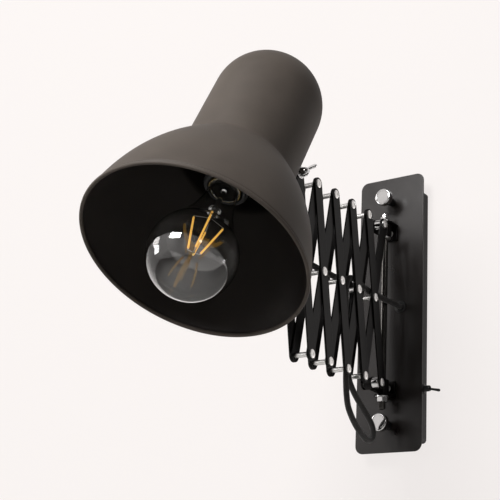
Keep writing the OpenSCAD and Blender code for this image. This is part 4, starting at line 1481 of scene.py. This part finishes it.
    def gland(self) -> None:
        """Ribbed rubber sleeve that tapers from the cap to the cable."""
        foot, tip = LAMP.cap_r + 2.0, LAMP.cap_r + LAMP.gland_l
        bore, tail, seat = LAMP.cable_bore, LAMP.cap_r - 3.0, LAMP.cap_r - 0.3
        ribs = []
        for k in range(self.ribs):
            at = foot + 0.9 + k * (tip - foot - 1.6) / self.ribs
            r = 5.0 - 1.1 * (at - foot) / (tip - foot)
            ribs += [[r - 0.05, at], [r - 0.05, at + 1.3], [r - 0.55, at + 1.6], [r - 0.55, at + 2.2]]
        flange = [[bore, tail], [5.0, tail], [5.0, seat], [7.0, seat], [7.0, foot - 0.4],
                  [6.6, foot], [5.0, foot]]
        lip = [[3.9, tip - 0.3], [3.7, tip], [bore, tip], [bore, tail]]
        profile = np.concatenate([flange, ribs, lip])
        work = Surface().add(in_head(lay_back(lathe(profile, 48)) + [0, 0, LAMP.gland_z]))
        obj = work.to_object("cable_sleeve", [self.finishes.plastic], 40)
        place(obj, self.body, Slot.PLASTIC, ["cable_gland"])

    def build(self) -> None:
        """Makes the joint."""
        self.bolt()
        self.wing_nut()
        self.knuckle()
        self.gland()


@dataclass
class Holder:
    """Lampholder with its knurled ring, and the bulb's screw cap."""

    finishes: Finishes
    body: str = "lamp_head"
    lift: float = 1.5
    length: float = 52.0
    mouth_r: float = 16.0
    bore: float = 14.2
    depth: float = 34.0
    straight: float = 0.55
    r: float = 19.5
    ring_r: float = 21.0
    ring_h: float = 7.0
    nipple_r: float = 5.0
    nipple_h: float = 8.0
    knurl: float = 0.985
    screw_r: float = 12.7
    screw_pitch: float = 3.6
    collar_r: float = 15.0

    def build(self) -> None:
        """Makes the shell, its ring and the screw cap as turned shapes in the head's frame."""
        foot = LAMP.globe_z + LAMP.neck_z
        low = foot + self.lift
        bend, high, r = low + self.length * self.straight, low + self.length, self.r
        mouth, bore = self.mouth_r, self.bore
        outline = np.array([[0, high + self.nipple_h], [4.6, high + self.nipple_h],
                            [self.nipple_r, high + self.nipple_h - 0.5], [self.nipple_r, high], [9.2, high],
                            [10.2, high - 0.8], [r - 0.8, bend + 1.4], [r, bend - 1.2], [r, low + 0.6],
                            [r - 0.6, low], [mouth + 0.6, low], [mouth, low + 0.6], [mouth, low + 5.0],
                            [bore, low + 5.4], [bore, low + self.depth], [0, low + self.depth]])
        work = Surface().add(in_head(lathe(outline, 96)))
        shell = work.to_object("holder_shell", [self.finishes.plastic], 35)
        place(shell, self.body, Slot.PLASTIC, ["lampholder"])
        knurl = lathe(sleeve(r + PLAY, self.ring_r, low + 2, low + 2 + self.ring_h, 0.6), 192)
        for column in (0, 1):
            knurl[2:4, column::4, :2] *= self.knurl
        ring = Surface().add(in_head(knurl)).to_object("knurled_ring", [self.finishes.plastic], 50)
        place(ring, self.body, Slot.PLASTIC, ["holder_ring"])
        z = np.linspace(foot + 5.6, foot + 25.0, 60)
        thread = np.stack([self.screw_r + 0.5 * np.cos((z - foot) * 2 * np.pi / self.screw_pitch), z], -1)
        disc = np.array([[0.0, foot], [LAMP.neck_r + 0.1, foot]])
        collar, floor = self.collar_r, foot + 26.0
        screw = np.concatenate([[[LAMP.neck_r + 0.1, foot], [collar - 0.3, foot + 0.05], [collar, foot + 0.4],
                                 [collar, foot + 4.4], [14.2, foot + 5.0]], thread,
                                [[11.5, floor], [6.6, floor], [5.0, floor + 3.0], [0.0, floor + 3.0]]])
        # The disc across the neck takes the near-black finish as painted shade inside the cap.
        work = Surface().add(in_head(lathe(screw, 96))).add(in_head(lathe(disc, 96)), 1)
        cap = work.to_object("screw_cap", [self.finishes.brass, self.finishes.dark], 40)
        place(cap, self.body, Slot.BRASS, ["bulb_cap"])


@dataclass
class Bulb:
    """Clear globe bulb with four amber rods on a glass stem."""

    finishes: Finishes
    body: str = "lamp_head"
    glass: float = 0.9
    flare: float = 0.6258
    shoulder: float = 0.78
    rod_l: float = 38.0
    rod_r: float = 0.9
    rod_top: float = 14.0
    rod_low: float = 5.5
    rod_z: float = 4.0
    tip_r: float = 0.45
    wire_r: float = 0.28
    count: int = 4
    first_turn: float = 45.0

    def profile(self, off: float) -> Array:
        """The glass from the bottom of the globe to the neck, drawn in by an even offset.

        Args:
            off: the offset.

        Returns:
            (n, 2) radii and heights.
        """
        r, nr, nz = LAMP.globe_r, LAMP.neck_r, LAMP.neck_z
        z0 = r * self.flare
        a1 = math.degrees(math.asin(z0 / r))
        ball = arc(0, 0, r - off, -90, a1, 64)
        k = np.linspace(0, 1, 24)[1:]
        neck = np.stack([nr + (r * self.shoulder - nr) * (1 - k) ** 2 - off, z0 + k * (nz - z0)], -1)
        ball = ball[ball[:, 1] < z0 - 0.4]
        return np.concatenate([ball, neck])

    def at(self, grid: Array) -> Array:
        """Takes points from the globe's own frame to the lamp's frame."""
        return in_head(grid + [0, 0, LAMP.globe_z])

    def envelope(self) -> None:
        """The glass, as a wall with an inside and an outside."""
        out, ins = self.profile(PLAY), self.profile(self.glass)
        whole = np.concatenate([out, ins[::-1]])
        whole[0, 0] = 0
        whole[-1, 0] = 0
        work = Surface().add(self.at(lathe(whole, 128)))
        place(work.to_object("globe_glass", [self.finishes.glass], 70), self.body, Slot.GLASS, ["bulb_glass"])

    def spoke(self, p: Sequence[float], q: Sequence[float], r: float, turn: float, sides: int = 12) -> Array:
        """A round rod from p to q, turned about the bulb's axis, with closed ends.

        Args:
            p: its lower end.
            q: its upper end.
            r: its radius.
            turn: angle about the bulb's axis, in degrees.
            sides: points round it.

        Returns:
            The grid.
        """
        p, q = np.array(p, float), np.array(q, float)
        d = (q - p) / np.linalg.norm(q - p)
        a = np.cross(d, [0.0, 1.0, 0.0])
        a /= np.linalg.norm(a)
        b = np.cross(d, a)
        k = np.arange(sides) * 2 * np.pi / sides
        ring = np.cos(k)[:, None] * a + np.sin(k)[:, None] * b
        rows = [(p, 0.0), (p, r * 0.85), (p + d * r * 0.3, r), (q - d * r * 0.3, r), (q, r * 0.85), (q, 0.0)]
        grid = np.stack([centre + radius * ring for centre, radius in rows])
        t = math.radians(turn)
        m = np.array([[math.cos(t), -math.sin(t), 0], [math.sin(t), math.cos(t), 0], [0, 0, 1]])
        return grid @ m.T

    def rods(self) -> None:
        """Amber rods with bare metal ends, and the wires that hold them."""
        lean = math.asin((self.rod_top - self.rod_low) / self.rod_l)
        up = np.array([math.sin(lean), 0, math.cos(lean)])
        low = np.array([self.rod_low, 0, self.rod_z])
        high = low + up * self.rod_l
        amber, wires = Surface(), Surface()
        for a in range(self.count):
            turn = a * 360 / self.count + self.first_turn
            amber.add(self.at(self.spoke(low + up * 1.2, high - up * 1.2, self.rod_r, turn)), 0)
            amber.add(self.at(self.spoke(low, low + up * 1.3, self.tip_r, turn)), 1)
            amber.add(self.at(self.spoke(high - up * 1.3, high, self.tip_r, turn)), 1)
            wires.add(self.at(self.spoke([1.0, 0, 46.0], high + [0, 0, 0.2], self.wire_r, turn, 8)))
            wires.add(self.at(self.spoke([0.9, 0, 3.4], low - [0, 0, 0.2], self.wire_r, turn, 8)))
        obj = amber.to_object("amber_rods", [self.finishes.filament, self.finishes.zinc], 40)
        place(obj, self.body, Slot.FILAMENT, ["bulb_filaments"])
        place(wires.to_object("rod_wires", [self.finishes.zinc], 40), self.body, Slot.ZINC, ["bulb_wires"])

    def stem(self) -> None:
        """Glass stem: a tube from the neck, a pinched flare and a thin rod that ends in a small bead."""
        profile = np.array([[0, 3.0], [0.7, 3.1], [0.98, 3.6], [0.98, 4.2], [0.7, 5.0], [0.65, 30.0],
                            [0.8, 44.0], [1.4, 47.5], [2.2, 49.5], [4.2, 51.6], [6.3, 53.7], [6.3, 54.0],
                            [3.2, 55.8], [2.3, 58.0], [2.25, 70.0], [2.25, 79.6], [0, 79.6]])
        work = Surface().add(self.at(lathe(profile, 40)))
        place(work.to_object("glass_stem", [self.finishes.glass], 60), self.body, Slot.GLASS, ["bulb_stem"])

    def build(self) -> None:
        """Makes the bulb."""
        self.envelope()
        self.rods()
        self.stem()


@dataclass
class Cable:
    """Woven cable from the grommet over the middle pivots, round its loop and up to the shade."""

    finishes: Finishes
    radius: float = 2.98
    step: float = 0.125
    run_out: float = 8.0
    loop_from: float = 9.0
    loop_to: float = 42.0
    bend: float = 4.0
    head_y: float = -191.0
    route: tuple[tuple[float, float, float], ...] = (
        (12.5, -16, 2.5), (12, -23, 2.7), (10, -30, 3.5), (7.5, -39, 4.7), (5.5, -50, 6),
        (4, -60, 7), (3.5, -68, 7.5), (3.5, -78, 9), (3.5, -88, 11), (3.5, -97, 12),
        (3.5, -104, 10.5), (3.5, -108.5, 6), (3.5, -110, 0), (3.5, -110, -12), (3.5, -110, -26),
        (3.5, -110, -40), (3.5, -109, -54), (3.5, -107.5, -68), (3.5, -106, -82),
        (3, -104.5, -95), (2.5, -102, -107.5), (2, -97.5, -118.5), (1.5, -88.5, -128),
        (1, -78, -135.5), (0.5, -67, -141), (0, -57, -144), (-0.5, -48.5, -142), (-1, -44, -135.5),
        (-1.5, -45.5, -127.5), (-2, -52.5, -120.5), (-2.5, -62, -113.5), (-3, -72, -106),
        (-3.2, -81.5, -98), (-3.5, -88.5, -89), (-3.5, -91.5, -78), (-3.5, -92, -65), (-3.5, -91.5, -51),
        (-3.5, -90, -37), (-3.5, -88.5, -23), (-3.5, -87.5, -10), (-3.5, -87.5, 1),
        (-3.5, -90.5, 8), (-3.5, -96, 11.5), (-3, -104, 11.5), (-2, -114, 9), (-1, -125, 6.7),
        (0, -136, 6), (0, -149, 5.5), (0, -162, 6), (0, -175, 6.5), (0, -185, 9),
        (0, -190.5, 15), (0, -194.5, 23.5), (0, -198, 33), (0, -201.5, 42.5), (0, -207, 51),
    )

    def line(self) -> tuple[Array, Array]:
        """The cable's centreline, as a Catmull-Rom curve through its points, and the index along it.

        Returns:
            Points and their positions counted in route points.
        """
        end = in_head(np.array([0, LAMP.cap_r + LAMP.gland_l, LAMP.gland_z]))
        way = LAMP.head_axes @ np.array([0, -1.0, 0])
        p = np.concatenate([np.array(self.route, float), end[None]])
        before = p[:1] + (p[:1] - p[1:2]) * [0, 1, 0]
        after = end[None] + way * self.run_out
        q = np.concatenate([before, p, after])
        t = np.arange(0, len(p) - 1, self.step)
        t = np.append(t, len(p) - 1)
        i = np.minimum(t.astype(int), len(p) - 2)
        f = (t - i)[:, None]
        a, b, c, d = q[i], q[i + 1], q[i + 2], q[i + 3]
        straight = 2 * b + (c - a) * f
        square = (2 * a - 5 * b + 4 * c - d) * f ** 2
        cube = (3 * b - a - 3 * c + d) * f ** 3
        return 0.5 * (straight + square + cube), t

    def build(self) -> None:
        """Makes the cable's runs and bends each between its two bodies.

        A row holds a run's name, its two bodies, where the run starts and ends along Y, and where its bend
        from the first body to the second starts and ends. The bend at a pivot reaches a little to both sides.
        """
        points, t = self.line()
        near = [LAMP.middle(i)[1] + self.bend for i in range(LAMP.cells)]
        far = [LAMP.middle(i)[1] - self.bend for i in range(LAMP.cells)]
        t0, t4 = LAMP.top(0)[1], LAMP.top(4)[1]
        y = points[:, 1]
        upto_loop, after_loop = t <= self.loop_from, t >= self.loop_to
        first = [
            ("cable_run_1", "wall_unit", "swivel_carrier", LAMP.plate_face, t0, -18.0, t0),
            ("cable_run_2", "swivel_carrier", "inner_pair_0", t0, near[0], t0, near[0]),
            ("cable_run_3", "inner_pair_0", "outer_pair_0", near[0], far[0], near[0], far[0]),
            ("cable_run_4", "outer_pair_0", "inner_pair_1", far[0], -88.0, far[0], -88.0),
            ("cable_run_5", "inner_pair_1", "outer_pair_1", -88.0, -97.0, -88.0, -106.0),
        ]
        second = [
            ("cable_run_6", "inner_pair_1", "outer_pair_1", -96.0, -101.0, -91.0, -101.0),
            ("cable_run_7", "outer_pair_1", "inner_pair_2", -101.0, near[2], -101.0, near[2]),
            ("cable_run_8", "inner_pair_2", "outer_pair_2", near[2], far[2], near[2], far[2]),
            ("cable_run_9", "outer_pair_2", "inner_pair_3", far[2], near[3], far[2], near[3]),
            ("cable_run_10", "inner_pair_3", "outer_pair_3", near[3], far[3], near[3], far[3]),
            ("cable_run_11", "outer_pair_3", "inner_pair_4", far[3], t4, far[3], t4),
            ("cable_run_12", "inner_pair_4", "outer_pair_4", t4, self.head_y, t4, self.head_y),
        ]
        grid, uv = tube(points, self.radius, 20, np.array([0, -1.0, 0]))
        for rows, mask in ((first, upto_loop), (second, after_loop)):
            for name, a, b, y0, y1, s, e in rows:
                inside = np.flatnonzero(mask & (y <= y0 + 1e-6) & (y >= y1 - 1e-6))
                lo, hi = inside.min(), inside.max()
                hi = min(hi + 1, len(y) - 1) if y[hi] > y1 + 1e-6 else hi
                node = "cable_wall" if mask is upto_loop else ("cable_arm" if y0 > -170 else "cable_head")
                obj = self.piece(name, grid[lo:hi + 1], uv[lo:hi + 1], node)
                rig.blend(obj, a, b, (0, s * MM, 0), (0, e * MM, 0))
        last = np.flatnonzero(after_loop & (y <= self.head_y + 1e-6))
        lo = last.min() - 1
        tail = self.piece("cable_run_13", grid[lo:], uv[lo:], "cable_head")
        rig.blend(tail, "outer_pair_4", "lamp_head", (0, -0.192, 0.020), (0, -0.209, 0.054))
        loop = (t >= self.loop_from) & (t <= self.loop_to)
        hang = self.piece("cable_run_loop", grid[loop], uv[loop], "cable_loop")
        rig.blend(hang, "inner_pair_1", "outer_pair_1", (-1, 0, 0), (1, 0, 0))
        way = points[loop] * MM
        length = float(np.linalg.norm(np.diff(way, axis=0), axis=1).sum())
        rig.cord(hang, exit=way[0].tolist(), length=length, diameter=2 * self.radius * MM, far_end="object",
                stiffness="medium", lay="hanging", path=way.tolist())

    def piece(self, name: str, grid: Array, uv: Array, node: str) -> bpy.types.Object:
        """One run of tube, closed at both ends.

        Args:
            name: the run's name.
            grid: its rings.
            uv: its pattern coordinates.
            node: the solid that it stands for.

        Returns:
            The object.
        """
        ends = [np.broadcast_to(grid[i].mean(0), (1,) + grid.shape[1:]) for i in (0, -1)]
        whole = np.concatenate([ends[0], grid, ends[1]])
        wide = np.concatenate([uv[:1], uv, uv[-1:]])
        obj = Surface().add(whole, uv=wide).to_object(name, [self.finishes.cable], 60)
        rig.slot(obj, Slot.CABLE.value)
        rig.replaces(obj, node)
        return obj


@dataclass(frozen=True)
class Glow:
    """A bright side of the room that mirrors see.

    Its brightness starts at one cosine to its direction and is full at a higher one.
    """

    way: tuple[float, float, float]
    low: float
    high: float
    bright: float


@dataclass(frozen=True)
class Softbox:
    """A square lamp: its place and side in metres, and its power in watts."""

    name: str
    at: tuple[float, float, float]
    power: float
    side: float


@dataclass
class Studio:
    """Camera at the photograph's angle, soft lamps, a pale wall and a floor far below."""

    focal_px: float = 1204.07
    picture: int = 500
    sensor: float = 36.0
    centre: tuple[float, float, float] = (0.61013, -1.08525, -0.35032)
    right: tuple[float, float, float] = (0.81060, 0.58318, 0.05314)
    down: tuple[float, float, float] = (-0.14466, 0.28735, -0.94684)
    ahead: tuple[float, float, float] = (-0.56745, 0.75983, 0.31729)
    backdrop: tuple[float, float, float] = (0.991, 0.947, 0.930)
    floor_z: float = -1.6
    floor_half: float = 5.0
    floor_color: tuple[float, float, float] = (0.86, 0.84, 0.82)
    fill: float = 0.16
    fill_color: tuple[float, float, float] = (1.0, 0.97, 0.95)
    room: float = 0.07
    wall_y: float = 0.0005
    wall_half: float = 4.0
    wall_color: tuple[float, float, float] = (0.10, 0.095, 0.092)
    wall_glow: float = 0.82
    glows: tuple[Glow, ...] = (
        Glow((-0.2, 1.0, 0.0), -0.05, 0.45, 0.75),
        Glow((0.3, 0.8, -0.5), 0.78, 0.92, 2.5),
        Glow((-0.55, -0.78, 0.34), 0.80, 0.94, 0.70),
        Glow((-0.82, -0.45, 0.37), 0.982, 0.988, 7.0),
        Glow((0.085, -0.894, 0.443), 0.9980, 0.9990, 9.0),
        Glow((0.80, -0.52, 0.30), 0.9970, 0.9985, 9.0),
    )
    target: tuple[float, float, float] = (0.0, -0.2, 0.0)
    lamps: tuple[Softbox, ...] = (
        Softbox("key", (-0.24, -2.2, 1.3), 88.0, 1.0),
        Softbox("side", (-1.6, -1.5, 0.2), 6.0, 0.5),
    )

    def camera(self) -> None:
        """Places the camera from the fitted directions of the picture's axes."""
        data = bpy.data.cameras.new("photo_camera")
        data.sensor_width = self.sensor
        data.lens = self.focal_px * self.sensor / self.picture
        data.clip_end = 50
        obj = bpy.data.objects.new("photo_camera", data)
        bpy.context.scene.collection.objects.link(obj)
        axes = np.stack([self.right, -np.array(self.down), -np.array(self.ahead)], 1)
        u, _, v = np.linalg.svd(axes)
        m = Matrix.Identity(4)
        for i, row in enumerate((u @ v).tolist()):
            for j, value in enumerate(row):
                m[i][j] = value
            m[i][3] = self.centre[i]
        obj.matrix_world = m
        bpy.context.scene.camera = obj

    def lamp(self, box: Softbox) -> None:
        """Hangs one softbox, turned to the target.

        Args:
            box: the softbox.
        """
        data = bpy.data.lights.new(box.name, "AREA")
        data.energy = box.power
        data.size = box.side
        obj = bpy.data.objects.new(box.name, data)
        bpy.context.scene.collection.objects.link(obj)
        way = Vector(self.target) - Vector(box.at)
        turn = way.to_track_quat("-Z", "Y").to_matrix().to_4x4()
        obj.matrix_world = Matrix.Translation(Vector(box.at)) @ turn

    def facing(self, tree: bpy.types.NodeTree, glow: Glow) -> bpy.types.NodeSocket:
        """Brightness of the room towards one side.

        Args:
            tree: the world's node tree.
            glow: the bright side.

        Returns:
            The brightness for the ray's direction.
        """
        coords = tree.nodes.new("ShaderNodeTexCoord")
        dot = tree.nodes.new("ShaderNodeVectorMath")
        dot.operation = "DOT_PRODUCT"
        dot.inputs[1].default_value = Vector(glow.way).normalized()
        ramp = tree.nodes.new("ShaderNodeMapRange")
        ramp.interpolation_type = "SMOOTHSTEP"
        ends = (("From Min", glow.low), ("From Max", glow.high), ("To Min", 0.0), ("To Max", glow.bright))
        for key, value in ends:
            ramp.inputs[key].default_value = value
        tree.links.new(coords.outputs["Generated"], dot.inputs[0])
        tree.links.new(dot.outputs["Value"], ramp.inputs["Value"])
        return ramp.outputs[0]

    def world(self) -> None:
        """Even light from all round.

        The camera and rays through glass see the pale backdrop. Mirrors see a dim room with bright sides.
        """
        world = bpy.data.worlds.new("studio")
        bpy.context.scene.world = world
        world.use_nodes = True
        tree = world.node_tree
        nodes, links = tree.nodes, tree.links
        nodes.clear()
        out = nodes.new("ShaderNodeOutputWorld")
        fill, room, seen = (nodes.new("ShaderNodeBackground") for _ in range(3))
        fill.inputs[0].default_value = (*self.fill_color, 1)
        fill.inputs[1].default_value = self.fill
        room.inputs[0].default_value = (*self.backdrop, 1)
        seen.inputs[0].default_value = (*self.backdrop, 1)
        total = None
        for glow in self.glows:
            part = self.facing(tree, glow)
            if total is not None:
                both = nodes.new("ShaderNodeMath")
                links.new(total, both.inputs[0])
                links.new(part, both.inputs[1])
                part = both.outputs[0]
            total = part
        base = nodes.new("ShaderNodeMath")
        base.operation = "MAXIMUM"
        base.inputs[1].default_value = self.room
        links.new(total, base.inputs[0])
        links.new(base.outputs[0], room.inputs[1])
        path = nodes.new("ShaderNodeLightPath")
        clear = nodes.new("ShaderNodeMath")
        clear.operation = "MAXIMUM"
        links.new(path.outputs["Is Camera Ray"], clear.inputs[0])
        links.new(path.outputs["Is Transmission Ray"], clear.inputs[1])
        mirror, mix = (nodes.new("ShaderNodeMixShader") for _ in range(2))
        links.new(path.outputs["Is Glossy Ray"], mirror.inputs[0])
        links.new(fill.outputs[0], mirror.inputs[1])
        links.new(room.outputs[0], mirror.inputs[2])
        links.new(clear.outputs[0], mix.inputs[0])
        links.new(mirror.outputs[0], mix.inputs[1])
        links.new(seen.outputs[0], mix.inputs[2])
        links.new(mix.outputs[0], out.inputs[0])

    def floor(self) -> None:
        """A pale floor well below the lamp."""
        n = Nodes("pale_floor")
        n.set(Base_Color=(*self.floor_color, 1), Roughness=0.8)
        mesh = bpy.data.meshes.new("floor")
        s, z = self.floor_half, self.floor_z
        mesh.from_pydata([(-s, -s, z), (s, -s, z), (s, s, z), (-s, s, z)], [], [(0, 1, 2, 3)])
        mesh.materials.append(n.material)
        obj = bpy.data.objects.new("floor", mesh)
        bpy.context.scene.collection.objects.link(obj)
        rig.stage(obj)

    def wall(self) -> None:
        """The pale wall behind the lamp, which only the camera sees, and only from the front."""
        n = Nodes("pale_wall")
        n.set(Base_Color=(*self.wall_color, 1), Roughness=1.0, Specular_IOR_Level=0.0)
        n.set(Emission_Color=(*self.backdrop, 1), Emission_Strength=self.wall_glow)
        path, geometry = n.new("ShaderNodeLightPath"), n.new("ShaderNodeNewGeometry")
        front = n.math("SUBTRACT", path.outputs["Is Camera Ray"], geometry.outputs["Backfacing"])
        clear = n.new("ShaderNodeBsdfTransparent")
        mix = n.new("ShaderNodeMixShader")
        n.link(n.math("MAXIMUM", front, 0.0), mix.inputs[0])
        n.link(clear.outputs[0], mix.inputs[1])
        n.link(n.shader.outputs[0], mix.inputs[2])
        n.link(mix.outputs[0], n.output.inputs["Surface"])
        mesh = bpy.data.meshes.new("wall")
        s, y = self.wall_half, self.wall_y
        mesh.from_pydata([(-s, y, -s), (s, y, -s), (s, y, s), (-s, y, s)], [], [(0, 1, 2, 3)])
        mesh.materials.append(n.material)
        obj = bpy.data.objects.new("wall", mesh)
        bpy.context.scene.collection.objects.link(obj)
        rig.stage(obj)

    def build(self) -> None:
        """Sets the stage."""
        scene = bpy.context.scene
        scene.view_settings.view_transform = "Standard"
        self.camera()
        self.world()
        self.floor()
        self.wall()
        for box in self.lamps:
            self.lamp(box)


def record_size(name: str) -> None:
    """Args:
        name: before or after the looks are built.
    """
    path = "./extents.json"
    try:
        with open(path, encoding="utf-8") as handle:
            sizes = json.load(handle)
    except (OSError, ValueError):
        sizes = {}
    sizes[name] = [list(corner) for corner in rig.bounds()]
    with open(path, "w", encoding="utf-8") as handle:
        json.dump(sizes, handle)


def main(frame: dict) -> None:
    """Builds the lamp's looks and its stage.
    """
    logging.basicConfig(level=logging.INFO, format="%(message)s")
    finishes = Finishes.build()
    dress_solids(frame, finishes)
    WallUnit(finishes).build()
    ScissorArm(finishes).build()
    Shade(finishes).build()
    TiltJoint(finishes).build()
    Holder(finishes).build()
    Bulb(finishes).build()
    Cable(finishes).build()
    Studio().build()


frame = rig.load()
record_size("before")

if __name__ == "__main__":
    main(frame)
    record_size("after")
